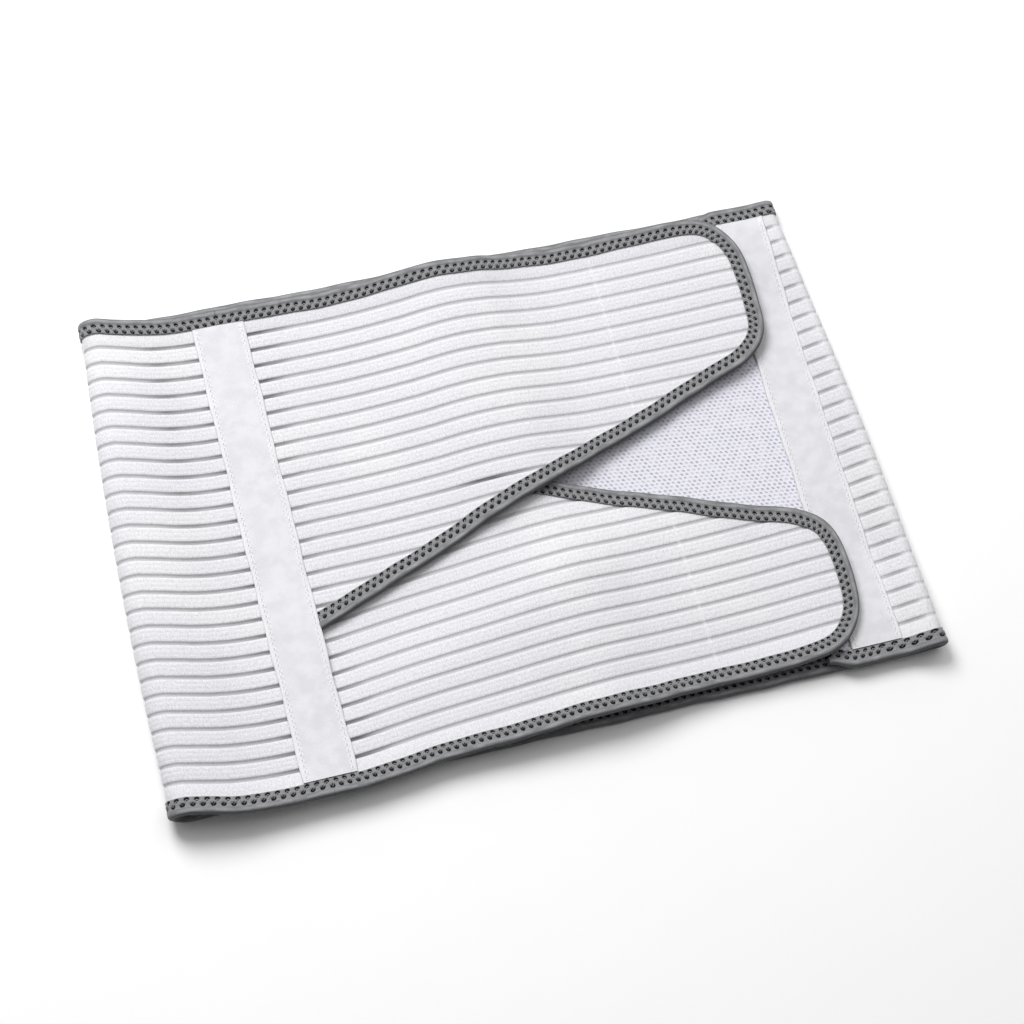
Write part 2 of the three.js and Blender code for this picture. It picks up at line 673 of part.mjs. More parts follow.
const binder = new THREE.Group();
for (const [name, geometry, material] of pieces) {
  const mesh = new THREE.Mesh(geometry, material);
  mesh.name = name;
  binder.add(mesh);
}

// The frame's origin is the middle of the resting face
const box = new THREE.Box3().setFromObject(binder);
const centre = box.getCenter(new THREE.Vector3());
binder.position.set(-centre.x, -centre.y, -box.min.z);

export default binder;
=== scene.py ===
import math

import bpy
import numpy as np
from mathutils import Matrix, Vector


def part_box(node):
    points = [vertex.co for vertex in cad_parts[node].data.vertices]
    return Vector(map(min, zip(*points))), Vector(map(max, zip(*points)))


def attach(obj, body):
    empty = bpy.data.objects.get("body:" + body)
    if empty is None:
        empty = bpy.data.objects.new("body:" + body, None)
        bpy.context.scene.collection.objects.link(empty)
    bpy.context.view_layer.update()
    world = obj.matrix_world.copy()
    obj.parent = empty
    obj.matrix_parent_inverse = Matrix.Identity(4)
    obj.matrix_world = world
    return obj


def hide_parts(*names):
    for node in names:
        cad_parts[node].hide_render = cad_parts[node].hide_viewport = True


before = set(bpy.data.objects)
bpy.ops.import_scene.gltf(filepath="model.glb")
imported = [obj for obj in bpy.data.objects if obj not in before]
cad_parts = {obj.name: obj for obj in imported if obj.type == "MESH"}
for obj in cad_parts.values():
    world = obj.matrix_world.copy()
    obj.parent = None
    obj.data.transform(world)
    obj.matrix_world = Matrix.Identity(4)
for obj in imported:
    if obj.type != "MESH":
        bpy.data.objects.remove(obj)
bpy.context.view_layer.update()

# Sizes of the part, the same as its solids have
BAND_HEIGHT = 242
FOLD_SPAN = 363.5
LEFT_FLARE = {"top": 8.5, "bottom": -1.5}
RIGHT_FLARE = {"top": -9.5, "bottom": 4}
ELASTIC_WALL = 1.5
BINDING_WALL = 1
TAPE_WALL = 1
LOOP_WALL = 1.2
HOOK_WALL = 1
CLEARANCE = 0.3
RIB_PITCH = 8.15
FIRST_GROOVE = 15
BINDING_WIDTH = 8
BINDING_CHAMFER = 0.7
TAPE_WIDTH = 25
LEFT_TAPE_INSET = 70.45
RIGHT_TAPE_INSET = 27.95
LOOP_PANEL_LENGTH = 146
LOOP_PANEL_INSET = 13
BOUND_RUN = 25
BOUND_TUCK = 4
HOOK_PAD_LENGTH = 78
HOOK_PAD_INSET = 1.6
UPPER = {"side": 1, "nose_gap": 3.7, "edge_at_seam": -48.4, "edge_at_nose": 46.8}
LOWER = {"side": -1, "nose_gap": 1.5, "edge_at_seam": -46.7, "edge_at_nose": 53.1}
NOSE_CORNER = {"run": 32, "drop": 40}
SLANT_CORNER = {"run": 21, "drop": 20}
ARCH_RISE = 11.5
RIGHT_RISE = 7
FRONT_SLIDE = 5.4
LOOP_FOLLOW = 0.2
DROP_REACH = 52
CROSSING_REACH = 40
SEAT_REACH = 52
NEAR_EDGE = (0.5, 0.92)  # shares of the half height between which the bound edges lift the layers
PAST_NOSE = 1.02  # share of the tabs' reach up to which the front's surface goes on
RUN_END = 6  # the run's zones are left front, left fold, back, right fold, right front, bound run
NORMAL_STEP = 0.05  # each way from a point where a surface's normal is taken
PLACE_STEP = 0.004  # the same along the closed band's run
SAME_PLACE = 1e-4  # points of neighbouring lines that are closer than this are one
SHARP_ANGLE = math.radians(75)


def table(at, **columns):
    """A table's columns with the slope of each at every row."""
    at = np.array(at, float)
    last = len(at) - 1
    before = np.maximum(np.arange(last + 1) - 1, 0)
    after = np.minimum(np.arange(last + 1) + 1, last)
    made = {"at": at}
    for name, values in columns.items():
        value = np.array(values, float)
        made[name] = value, (value[after] - value[before]) / (at[after] - at[before])
    return made


# Rows of the part's tables, by column name
LOOP_ROWS = table(
    at=[0.0, 0.2, 0.36, 0.52, 0.68, 0.84, 1.0],
    top=[0.36, 0.36, 0.4, 0.49, 0.62, 0.74, 0.79],
    middle=[0.0, 0.0, 0.08, 0.27, 0.54, 0.75, 0.81],
    bottom=[0.32, 0.33, 0.38, 0.47, 0.6, 0.73, 0.79],
    slide=[1.0, 1.0, 0.99, 0.91, 0.74, 0.4, 0.0],
)
TAB_ROWS = table(
    at=[0.0, 0.06, 0.2, 0.32, 0.38, 0.43, 0.49, 0.525, 0.565, 0.62, 0.73, 0.84, 0.92, 1.0],
    top=[0.36, 0.27, 0.17, 0.54, 0.9, 1.0, 0.74, 0.44, 0.18, 0.0, 0.02, 0.02, 0.02, 0.04],
    middle=[0.0, 0.0, 0.02, 0.3, 0.6, 0.75, 0.76, 0.64, 0.42, 0.16, 0.02, 0.0, 0.0, 0.04],
    bottom=[0.32, 0.3, 0.3, 0.45, 0.53, 0.61, 0.68, 0.67, 0.58, 0.38, 0.18, 0.06, 0.04, 0.04],
    perch_edge=[0, 0, 0, 0, 0, 0, 0, 0, 0, 0, 0.04, 0.5, 1.06, 1.08],
    perch_middle=[0, 0, 0, 0, 0, 0, 0, 0, 0, 0, 0, 0, 0.22, 0.4],
    lean=[1.0, 0.97, 0.36, 0.09, -0.02, -0.12, -0.22, -0.28, -0.34, -0.42, -0.55, -0.7, -0.83, -0.95],
)
RIGHT_ROWS = table(
    at=[0.0, 0.5, 0.78, 1.0],
    top=[0.0, 0.02, 0.1, 0.16],
    middle=[0.02, 0.16, 0.74, 1.0],
    bottom=[0.0, 0.1, 0.52, 0.74],
)
SLIDE_ROWS = table(
    at=[0, 0.5, 1, 2, 3, 4],
    slide=[0.0, -0.22, -0.1, 0.3, 0.45, 0.45],
)

# Places that follow from the sizes
HALF_HEIGHT = BAND_HEIGHT / 2
HALF_SPAN = FOLD_SPAN / 2
LEFT_SEAM = -HALF_SPAN + LEFT_TAPE_INSET
RIGHT_SEAM = HALF_SPAN - RIGHT_TAPE_INSET
for tab in (UPPER, LOWER):
    tab["reach"] = RIGHT_SEAM - LEFT_SEAM - tab["nose_gap"]
BINDING_HALF = ELASTIC_WALL / 2 + CLEARANCE + BINDING_WALL
BOUND_INSET = BINDING_WALL + CLEARANCE
LAYER_DROP = ELASTIC_WALL + BINDING_WALL + 3 * CLEARANCE
CROSSING_DROP = BINDING_WALL + 2 * CLEARANCE
LOOP_SEAT = ELASTIC_WALL / 2 + CLEARANCE + LOOP_WALL / 2
TAB_SEAT = ELASTIC_WALL + CLEARANCE + BINDING_HALF + LAYER_DROP
EDGE_SEAT = 3 * BINDING_HALF + CLEARANCE
PERCH_HEIGHT = 2 * BINDING_HALF + CLEARANCE
GROOVES = round((BAND_HEIGHT - 2 * FIRST_GROOVE) / RIB_PITCH) + 1
MM = 0.001


def smooth(low, high, value):
    t = np.clip((np.asarray(value, float) - low) / (high - low), 0, 1)
    return t * t * (3 - 2 * t)


def mix(a, b, share):
    return a + (b - a) * share


def column(rows, name, place):
    """Value of a table's column at places along it, smooth through every row."""
    at = rows["at"]
    value, slope = rows[name]
    place = np.asarray(place, float)
    i = np.clip(np.searchsorted(at, place, side="right") - 1, 0, len(at) - 2)
    gap = at[i + 1] - at[i]
    t = np.clip((place - at[i]) / gap, 0, 1)
    t2, t3 = t * t, t * t * t
    start = (2 * t3 - 3 * t2 + 1) * value[i] + (t3 - 2 * t2 + t) * gap * slope[i]
    return start + (3 * t2 - 2 * t3) * value[i + 1] + (t3 - t2) * gap * slope[i + 1]


def across(t, top, middle, bottom):
    return middle + (top - bottom) / 2 * t + ((top + bottom) / 2 - middle) * t * t


def row_across(rows, place, t):
    return across(t, *(column(rows, name, place) for name in ("top", "middle", "bottom")))


def near_edge(t):
    return smooth(*NEAR_EDGE, np.abs(t))


def back_level(t):
    return mix(ELASTIC_WALL / 2, BINDING_HALF, near_edge(t))


def loop_level(t):
    return back_level(t) + LOOP_SEAT


def right_seat(t):
    return mix(loop_level(t), EDGE_SEAT, near_edge(t))


def left_fold(t):
    top = TAB_SEAT + ARCH_RISE * row_across(LOOP_ROWS, 1, t)
    radius = (top - back_level(t)) / 2
    return radius, -HALF_SPAN + across(t, LEFT_FLARE["top"], 0, LEFT_FLARE["bottom"]) + radius


def right_fold(t):
    top = right_seat(t) + RIGHT_RISE * row_across(RIGHT_ROWS, 1, t)
    radius = (top - back_level(t)) / 2
    return radius, HALF_SPAN + across(t, RIGHT_FLARE["top"], 0, RIGHT_FLARE["bottom"]) - radius


def points(x, y, z):
    return np.stack(np.broadcast_arrays(x, y, z), axis=-1)


def band_middle(place, v):
    """Middle of the closed band's cloth at places of its run and heights v."""
    place, v = np.broadcast_arrays(np.asarray(place, float), np.asarray(v, float))
    t = v / HALF_HEIGHT
    zone = np.clip(place.astype(int), 0, RUN_END - 1)
    p = place - zone
    left_radius, left_x = left_fold(t)
    right_radius, right_x = right_fold(t)
    slide = np.where(zone == 0, column(LOOP_ROWS, "slide", p), column(SLIDE_ROWS, "slide", place - 1))
    y = v - FRONT_SLIDE * slide
    first = points(mix(LEFT_SEAM, left_x, p), y, TAB_SEAT + ARCH_RISE * row_across(LOOP_ROWS, p, t))
    radius = np.where(zone == 1, left_radius, right_radius)
    centre = np.where(zone == 1, left_x, right_x)
    turn = math.pi * (np.where(zone == 1, 0.5, 1.5) + p)
    fold = points(centre + radius * np.cos(turn), y, back_level(t) + radius * (1 + np.sin(turn)))
    back = points(mix(left_x, right_x, p), y, back_level(t))
    last_x = np.where(zone == 4, mix(right_x, RIGHT_SEAM, p), RIGHT_SEAM - p * BOUND_RUN)
    last = loop_middle(last_x, y)
    chosen = zone[..., None]
    return np.select([chosen == 0, (chosen == 1) | (chosen == 3), chosen == 2], [first, fold, back], last)


def front_middle(x, y):
    """Middle of the front's top layer over the plan, without the lower tab's drop."""
    x, y = np.broadcast_arrays(np.asarray(x, float), np.asarray(y, float))
    t = (y + FRONT_SLIDE) / HALF_HEIGHT
    before = np.clip((x - LEFT_SEAM) / (left_fold(t)[1] - LEFT_SEAM), 0, 1)
    left = TAB_SEAT + ARCH_RISE * row_across(LOOP_ROWS, before, t)
    p = np.clip((x - LEFT_SEAM) / UPPER["reach"], 0, PAST_NOSE)
    edge = column(TAB_ROWS, "perch_edge", p)
    perch = PERCH_HEIGHT * across(t, edge, column(TAB_ROWS, "perch_middle", p), edge)
    tabs = TAB_SEAT + ARCH_RISE * row_across(TAB_ROWS, p, t) + perch
    return points(x, y, np.where(x < LEFT_SEAM, left, tabs))


def loop_middle(x, y):
    """Middle of the loop panel and the right front over the plan."""
    x, y = np.broadcast_arrays(np.asarray(x, float), np.asarray(y, float))
    t = (y + FRONT_SLIDE * column(SLIDE_ROWS, "slide", 4)) / HALF_HEIGHT
    to_tape = smooth(RIGHT_SEAM - BOUND_RUN - SEAT_REACH, RIGHT_SEAM - BOUND_RUN, x)
    seat = mix(loop_level(t), right_seat(t), to_tape)
    p = (x - RIGHT_SEAM) / (right_fold(t)[1] - RIGHT_SEAM)
    right = seat + RIGHT_RISE * row_across(RIGHT_ROWS, np.clip(p, 0, 1), t)
    arch = ARCH_RISE * LOOP_FOLLOW * row_across(TAB_ROWS, (x - LEFT_SEAM) / UPPER["reach"], t)
    flat = RIGHT_RISE * row_across(RIGHT_ROWS, 0, t)
    left = seat + mix(arch, flat, smooth(RIGHT_SEAM - BOUND_RUN, RIGHT_SEAM, x))
    return points(x, y, np.where(x > RIGHT_SEAM, right, left))


def unit(vectors):
    return vectors / np.linalg.norm(vectors, axis=-1, keepdims=True)


def lifted(middle, x, y, height):
    """Points off a surface over the plan, along its normal."""
    along_x = middle(x + NORMAL_STEP, y) - middle(x - NORMAL_STEP, y)
    along_y = middle(x, y + NORMAL_STEP) - middle(x, y - NORMAL_STEP)
    return middle(x, y) + unit(np.cross(along_x, along_y)) * np.asarray(height)[..., None]


def band_point(place, v, height):
    """Points off the closed band, outwards."""
    after, before = np.minimum(place + PLACE_STEP, RUN_END), np.maximum(place - PLACE_STEP, 0)
    along_band = band_middle(after, v) - band_middle(before, v)
    along_height = band_middle(place, v + NORMAL_STEP) - band_middle(place, v - NORMAL_STEP)
    normal = unit(np.cross(along_height, along_band))
    return band_middle(place, v) + normal * np.asarray(height)[..., None]


def slant_at(tab, x):
    share = (x - LEFT_SEAM) / tab["reach"]
    return tab["side"] * mix(tab["edge_at_seam"], tab["edge_at_nose"], share)


def upper_slide(_):
    return -FRONT_SLIDE


def lower_slide(x):
    return -FRONT_SLIDE * column(TAB_ROWS, "lean", (np.asarray(x, float) - LEFT_SEAM) / UPPER["reach"])


def crossing_place():
    """Where the inner edge of the upper binding meets the lower tab's edge, by halving."""
    low, high = LEFT_SEAM, LEFT_SEAM + UPPER["reach"]
    for _ in range(40):
        x = (low + high) / 2
        above = slant_at(LOWER, x) + lower_slide(x) > slant_at(UPPER, x) - FRONT_SLIDE + BINDING_WIDTH
        low, high = (x, high) if above else (low, x)
    return (low + high) / 2


CROSSING = crossing_place()


def lower_middle(x, y):
    """The lower tab's middle: the front's top layer, less its drop under the upper tab."""
    middle = front_middle(x, y)
    below = slant_at(UPPER, x) - FRONT_SLIDE - y
    under = 1 - smooth(BINDING_CHAMFER, DROP_REACH, below)
    at_crossing = 1 - smooth(2 * BINDING_WIDTH, CROSSING_REACH, np.abs(x - CROSSING))
    middle[..., 2] -= under * (LAYER_DROP + CROSSING_DROP * at_crossing)
    return middle


UPPER.update(slide=upper_slide, middle=front_middle)
LOWER.update(slide=lower_slide, middle=lower_middle)


def tab_point(tab, x, v, height):
    return lifted(tab["middle"], x, v + tab["slide"](x), height)


def layout_offset():
    """From the layout of the sizes above to the frame, by the bottom binding's own box."""
    low, high = (np.array(corner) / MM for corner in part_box("body_bottom_binding"))
    own = band_point(np.linspace(0, RUN_END, 400), -HALF_HEIGHT, 0)
    middle_x = (own[:, 0].min() + own[:, 0].max()) / 2
    return np.array([(low[0] + high[0]) / 2 - middle_x, low[1] - own[:, 1].min(), 0])


OFFSET = layout_offset()


def mesh_object(name, verts, faces, material, uvs=None, tones=None):
    """A piece from points in millimetres, with smooth faces and a UV in metres of flat cloth."""
    mesh = bpy.data.meshes.new(name)
    placed = (np.asarray(verts, float).reshape(-1, 3) + OFFSET) * MM
    mesh.from_pydata(placed.tolist(), [], faces)
    mesh.validate()
    if uvs is not None:
        layer = mesh.uv_layers.new(name="cloth")
        loops = np.zeros(len(mesh.loops), dtype=np.int32)
        mesh.loops.foreach_get("vertex_index", loops)
        layer.data.foreach_set("uv", (np.asarray(uvs, float).reshape(-1, 2)[loops] * MM).ravel())
    for key, values in (tones or {}).items():
        attribute = mesh.attributes.new(name=key, type="FLOAT", domain="POINT")
        attribute.data.foreach_set("value", np.asarray(values, float).ravel())
    mesh.polygons.foreach_set("use_smooth", [True] * len(mesh.polygons))
    mesh.set_sharp_from_angle(angle=SHARP_ANGLE)
    mesh.materials.append(material)
    obj = bpy.data.objects.new(name, mesh)
    bpy.context.scene.collection.objects.link(obj)
    return obj


def merge_lines(index, places):
    """Points where neighbouring lines have run together get one number."""
    same = np.linalg.norm(np.diff(places, axis=1), axis=-1) < SAME_PLACE
    for i, j in zip(*np.nonzero(same)):
        index[i, j + 1] = index[i, j]


def cloth_shell(face, back, face_uv, back_lines):
    """A closed sheet from a grid of face points and the same grid's back points, where only some
    lines of the back are used. Where lines have run together, the doubled corners are dropped."""
    rows, lines = face.shape[:2]
    count = rows * lines
    keep = list(back_lines)
    verts = np.concatenate([face.reshape(-1, 3), back[:, keep].reshape(-1, 3)])
    uvs = np.concatenate([face_uv.reshape(-1, 2), face_uv[:, keep].reshape(-1, 2)])
    top = np.arange(count).reshape(rows, lines)
    low = count + np.arange(rows * len(keep)).reshape(rows, len(keep))
    merge_lines(top, face)
    merge_lines(low, back[:, keep])
    faces = distinct(np.concatenate([
        np.stack([top[:-1, :-1], top[1:, :-1], top[1:, 1:], top[:-1, 1:]], axis=-1).reshape(-1, 4),
        np.stack([low[:-1, :-1], low[:-1, 1:], low[1:, 1:], low[1:, :-1]], axis=-1).reshape(-1, 4),
        np.stack([top[:-1, 0], low[:-1, 0], low[1:, 0], top[1:, 0]], axis=-1),
        np.stack([top[:-1, -1], top[1:, -1], low[1:, -1], low[:-1, -1]], axis=-1),
    ]).tolist())
    # Both ends, from one used line of the back to the next
    for k, (a, b) in enumerate(zip(keep[:-1], keep[1:])):
        faces += distinct([
            [*top[0, a:b + 1].tolist(), int(low[0, k + 1]), int(low[0, k])],
            [*top[-1, a:b + 1][::-1].tolist(), int(low[-1, k]), int(low[-1, k + 1])],
        ])
    used = np.unique(np.concatenate([np.array(ring) for ring in faces]))
    renumber = np.full(len(verts), -1)
    renumber[used] = np.arange(len(used))
    order = renumber.tolist()
    return verts[used], [[order[c] for c in ring] for ring in faces], uvs[used], used


def plain_cloth(name, face, back, uv, material, step=1):
    """A sheet whose back has every step-th line of its face."""
    verts, faces, uvs, _ = cloth_shell(face, back, uv, range(0, face.shape[1], step))
    return mesh_object(name, verts, faces, material, uvs)


def distinct(rings):
    """Faces without their doubled corners; those that keep fewer than three are left out."""
    kept = []
    for ring in rings:
        if len(set(ring)) == len(ring):
            kept.append(ring)
            continue
        short = [corner for k, corner in enumerate(ring) if corner != ring[k - 1]]
        if len(set(short)) >= 3:
            kept.append(short)
    return kept


# Ribbed face of the elastic: offsets from a groove's middle and the relief there
GROOVE_DEPTH = 0.62
RIB_CREST = -0.01
GROOVE_SIDE = [(0.5, -GROOVE_DEPTH), (0.92, -0.23), (1.4, -0.05)]
STREAK_AT = 2.85  # a fine line drawn in on each side of a rib's crest
RIB_MIDDLE = [(2.5, -0.03), (STREAK_AT, -0.08), (3.2, -0.02), (4.075, RIB_CREST),
              (4.95, -0.02), (5.3, -0.08), (5.65, -0.03)]
RIB_SECTION = [(0.0, -GROOVE_DEPTH), *GROOVE_SIDE, *RIB_MIDDLE]
RIB_SECTION += [(RIB_PITCH - at, relief) for at, relief in GROOVE_SIDE[::-1]]
HEM_RIB = (6.5, -0.02)
BACK_RELIEF = 0.25  # how far the back is drawn in behind a groove
BODY_STEPS = [26, 18, 56, 14, 12]  # stations in the zones of the band's run
FADE_PLACES = (3.2, 3.8, 3.95, 4.12)  # where the grooves grow faint over the right fold
FADE_MOST = 0.8
FADE_SHALLOWER = 0.6


def rib_lines():
    """Heights of the lines across the band, their relief, and the lines that the back uses."""
    first = -(GROOVES - 1) / 2 * RIB_PITCH
    side = [(0.0, -GROOVE_DEPTH), *GROOVE_SIDE, HEM_RIB]
    lines = [(-HALF_HEIGHT + BOUND_INSET, 0.0)] + [(first - at, relief) for at, relief in side[:0:-1]]
    for k in range(GROOVES - 1):
        lines += [(first + k * RIB_PITCH + at, relief) for at, relief in RIB_SECTION]
    lines += [(-first + at, relief) for at, relief in side] + [(HALF_HEIGHT - BOUND_INSET, 0.0)]
    at = np.array([line[0] for line in lines])
    relief = np.array([line[1] for line in lines])
    behind = [j for j in range(len(at)) if relief[j] in (-GROOVE_DEPTH, RIB_CREST)]
    return at, relief, [0, *behind, len(at) - 1]


RIB_AT, RIB_RELIEF, RIB_BACK = rib_lines()


def run_lengths(path):
    """Distance along a path at each of its points."""
    steps = np.linalg.norm(np.diff(path, axis=0), axis=-1)
    return np.concatenate([[0], np.cumsum(steps)])


def body_stations():
    zones = [zone + np.linspace(0, 1, n, endpoint=False) for zone, n in enumerate(BODY_STEPS)]
    places = np.concatenate([*zones, [float(len(BODY_STEPS))]])
    left_length = LEFT_SEAM - left_fold(0)[1]
    right_length = right_fold(0)[1] - RIGHT_SEAM
    places[0] += CLEARANCE / 2 / left_length
    places[-1] -= CLEARANCE / 2 / right_length
    return places


def build_body(material):
    places = body_stations()
    inner = ELASTIC_WALL / 2 - BACK_RELIEF * (RIB_RELIEF == -GROOVE_DEPTH)
    start, full, still, end = FADE_PLACES
    fade = FADE_MOST * smooth(start, full, places) * (1 - smooth(still, end, places))
    relief = RIB_RELIEF[None, :] * (1 - FADE_SHALLOWER * fade[:, None])
    face = band_point(places[:, None], RIB_AT[None, :], ELASTIC_WALL / 2 + relief)
    back = band_point(places[:, None], RIB_AT[None, :], -inner)
    run = run_lengths(face[:, len(RIB_AT) // 2])
    uv = np.stack(np.broadcast_arrays(run[:, None] - run[-1], RIB_AT[None, :]), axis=-1)
    verts, faces, uvs, used = cloth_shell(face, back, uv, RIB_BACK)
    # Painted shade of the grooves' net, and how faint the grooves are
    net_shade = band_net_shade(*np.broadcast_arrays(places[:, None], RIB_AT[None, :]))
    faint = np.broadcast_to(fade[:, None], net_shade.shape)
    tones = {"net_shade": on_shell(net_shade, used), "fade": on_shell(faint, used)}
    return mesh_object("elastic_band", verts, faces, material, uvs, tones)


def on_shell(grid, used):
    """Values at a ribbed grid's points, in the order of its shell's vertices."""
    return np.concatenate([grid.ravel(), grid[:, RIB_BACK].ravel()])[used]


# How dark the net in the grooves is painted, 0 to 1, as painted shade from the shadow under the sheer net:
# along the closed band's run, in a patch of its left front, on the tabs, beside the tape and in the upper
# tab's crease
BAND_NET_SHADE = table(
    at=[0.0, 0.2, 0.27, 0.42, 0.7, 1.0, 1.5, 2.0, 3.0, 4.0, 4.12, 4.25, 4.4, 4.52, 5.0],
    tone=[0.85, 0.82, 0.62, 0.45, 0.36, 0.26, 0.14, 0.3, 0.3, 0.2, 0.34, 0.38, 0.3, 0.12, 0.3],
)
BAND_SHADE_PATCH = {"tone": 0.3, "at": 0.56, "width": 0.1, "from": -30, "to": 50}
TAB_NET_SHADE = {"tone": 0.2, "more": 0.08, "reach": 90, "less": 0.1, "from": 70, "to": 170}
TAPE_SHADE = {"tone": (0.4, 0.4), "reach": (12, 18)}  # in the band's middle, and what its edges add
CREASE_SHADE = {"tone": 0.75, "before": 20, "length": 17, "width": 3}


def bell(value):
    return np.exp(-(value ** 2))


# Painted shade: how dark the grooves' net is painted along the band's run
def band_net_shade(place, v):
    patch = BAND_SHADE_PATCH["tone"] * bell((place - BAND_SHADE_PATCH["at"]) / BAND_SHADE_PATCH["width"])
    return column(BAND_NET_SHADE, "tone", place) + patch * smooth(BAND_SHADE_PATCH["from"], BAND_SHADE_PATCH["to"], v)


def tab_net_shade(tab, x, v):
    """Painted shade in the grooves' net: darker beside the tape, and for the longest way at the band's edges,
    then light.
    """
    edge = (v / HALF_HEIGHT) ** 2
    from_tape = x - LEFT_SEAM - TAPE_WIDTH / 2
    most, reach = (inside + at_edge * edge for inside, at_edge in TAPE_SHADE.values())
    dark = most * (1 - smooth(0, reach, from_tape))
    tone = TAB_NET_SHADE["tone"] + TAB_NET_SHADE["more"] * (1 - smooth(0, TAB_NET_SHADE["reach"], from_tape)) + dark
    if tab is UPPER:
        tone = tone - TAB_NET_SHADE["less"] * smooth(TAB_NET_SHADE["from"], TAB_NET_SHADE["to"], from_tape)
        # Painted shade in the crease where the cloth lies over the lower tab's binding
        along = bell((x - CROSSING + CREASE_SHADE["before"]) / CREASE_SHADE["length"])
        tone = tone + CREASE_SHADE["tone"] * along * bell((v - RIB_PITCH) / CREASE_SHADE["width"])
    return tone


def tab_edge_curve(tab):
    """Outline of a tab as dense points from the seam along its long edge, round the nose and back
    down the slant, in heights counted towards its own side."""
    nose = LEFT_SEAM + tab["reach"]
    low = tab["edge_at_nose"]
    slope = (tab["edge_at_nose"] - tab["edge_at_seam"]) / tab["reach"]

    def on_slant(x):
        return np.array([x, low + slope * (x - nose)])

    def line(a, b, n):
        return np.array(a) + np.linspace(0, 1, n)[:, None] * (np.array(b) - np.array(a))

    def bend(a, b, c, n):
        t = np.linspace(0, 1, n)[:, None]
        return (1 - t) ** 2 * np.array(a) + 2 * t * (1 - t) * np.array(b) + t * t * np.array(c)

    run, drop = NOSE_CORNER["run"], NOSE_CORNER["drop"]
    slant_run, slant_drop = SLANT_CORNER["run"], SLANT_CORNER["drop"]
    return np.concatenate([
        line((LEFT_SEAM, HALF_HEIGHT), (nose - run, HALF_HEIGHT), 200)[:-1],
        bend((nose - run, HALF_HEIGHT), (nose, HALF_HEIGHT), (nose, HALF_HEIGHT - drop), 80)[:-1],
        line((nose, HALF_HEIGHT - drop), (nose, low + slant_drop), 8)[:-1],
        bend((nose, low + slant_drop), (nose, low), on_slant(nose - slant_run), 60)[:-1],
        line(on_slant(nose - slant_run), on_slant(LEFT_SEAM), 200),
    ])


def resampled(path, spacing):
    """A path at equal steps, with its inward directions and run."""
    run = run_lengths(path)
    at = np.linspace(0, run[-1], int(round(run[-1] / spacing)) + 1)
    even = np.stack([np.interp(at, run, path[:, k]) for k in range(2)], axis=-1)
    tangent = unit(np.gradient(even, axis=0))
    return even, np.stack([tangent[:, 1], -tangent[:, 0]], axis=-1), at


def tab_limits(tab, inset, x):
    """Lowest and highest v of a tab's cloth at places x, drawn in from its outline."""
    even, inward, _ = resampled(tab_edge_curve(tab), 0.5)
    ring = even + inward * inset
    tip = int(np.argmax(ring[:, 0]))
    outer = ring[: tip + 1]
    slant = ring[tip:][::-1]
    high = np.interp(x, outer[:, 0], outer[:, 1])
    low = np.interp(x, slant[:, 0], slant[:, 1])
    return (low, high) if tab["side"] > 0 else (-high, -low)


def tab_places(tab, start, inset, step):
    """Places along a tab, closer together round its nose."""
    nose = LEFT_SEAM + tab["reach"] - inset
    turn = nose - NOSE_CORNER["run"]
    coarse = np.linspace(start, turn, int((turn - start) / step) + 2)[:-1]
    angle = np.linspace(0, math.pi / 2, 26)
    return np.concatenate([coarse, turn + (nose - turn) * np.sin(angle)])


# The seam at a hook pad's end, which shows on the face of its tab
TAB_STEP = 2.4  # between stations of a tab's cloth
HOOK_STEP = 3.0
PAD_SEAM = 1.5  # from the pad's end
SEAM_STATIONS = np.array([-1.6, -0.9, -0.4, 0, 0.4, 0.9, 1.6])
SEAM_CLEAR = 2.2  # no other station is this near to it
SEAM_WIDTH = 0.7
SEAM_ENDS = (9, 11)  # from the cloth's edge
SEAM_SHALLOWER = 0.25
SEAM_PALER = 0.6


def build_tab(name, tab, material):
    seam_x = LEFT_SEAM + tab["reach"] - HOOK_PAD_LENGTH + PAD_SEAM
    x = tab_places(tab, LEFT_SEAM + CLEARANCE / 2, BOUND_INSET, TAB_STEP)
    x = np.union1d(x[np.abs(x - seam_x) > SEAM_CLEAR], seam_x + SEAM_STATIONS)
    low, high = (limit[:, None] for limit in tab_limits(tab, BOUND_INSET, x))
    v = np.clip(RIB_AT[None, :], low, high)
    held = (RIB_AT[None, :] > low) & (RIB_AT[None, :] < high)
    end, full = SEAM_ENDS
    seam = bell((x[:, None] - seam_x) / SEAM_WIDTH) * smooth(low + end, low + full, v)
    seam = seam * (1 - smooth(high - full, high - end, v))
    relief = np.where(held, RIB_RELIEF[None, :] * (1 - SEAM_SHALLOWER * seam), 0)
    xs = np.broadcast_to(x[:, None], v.shape)
    face = tab_point(tab, xs, v, ELASTIC_WALL / 2 + relief)
    back = tab_point(tab, xs, v, -ELASTIC_WALL / 2)
    uv = np.stack([xs - LEFT_SEAM, v], axis=-1)
    verts, faces, uvs, used = cloth_shell(face, back, uv, RIB_BACK)
    line = on_shell(seam, used)
    # Painted shade of the grooves' net, paler along the pad's seam
    net_shade = tab_net_shade(tab, uvs[:, 0] + LEFT_SEAM, uvs[:, 1]) * (1 - SEAM_PALER * line)
    return mesh_object(name, verts, faces, material, uvs, {"net_shade": net_shade, "line": line})


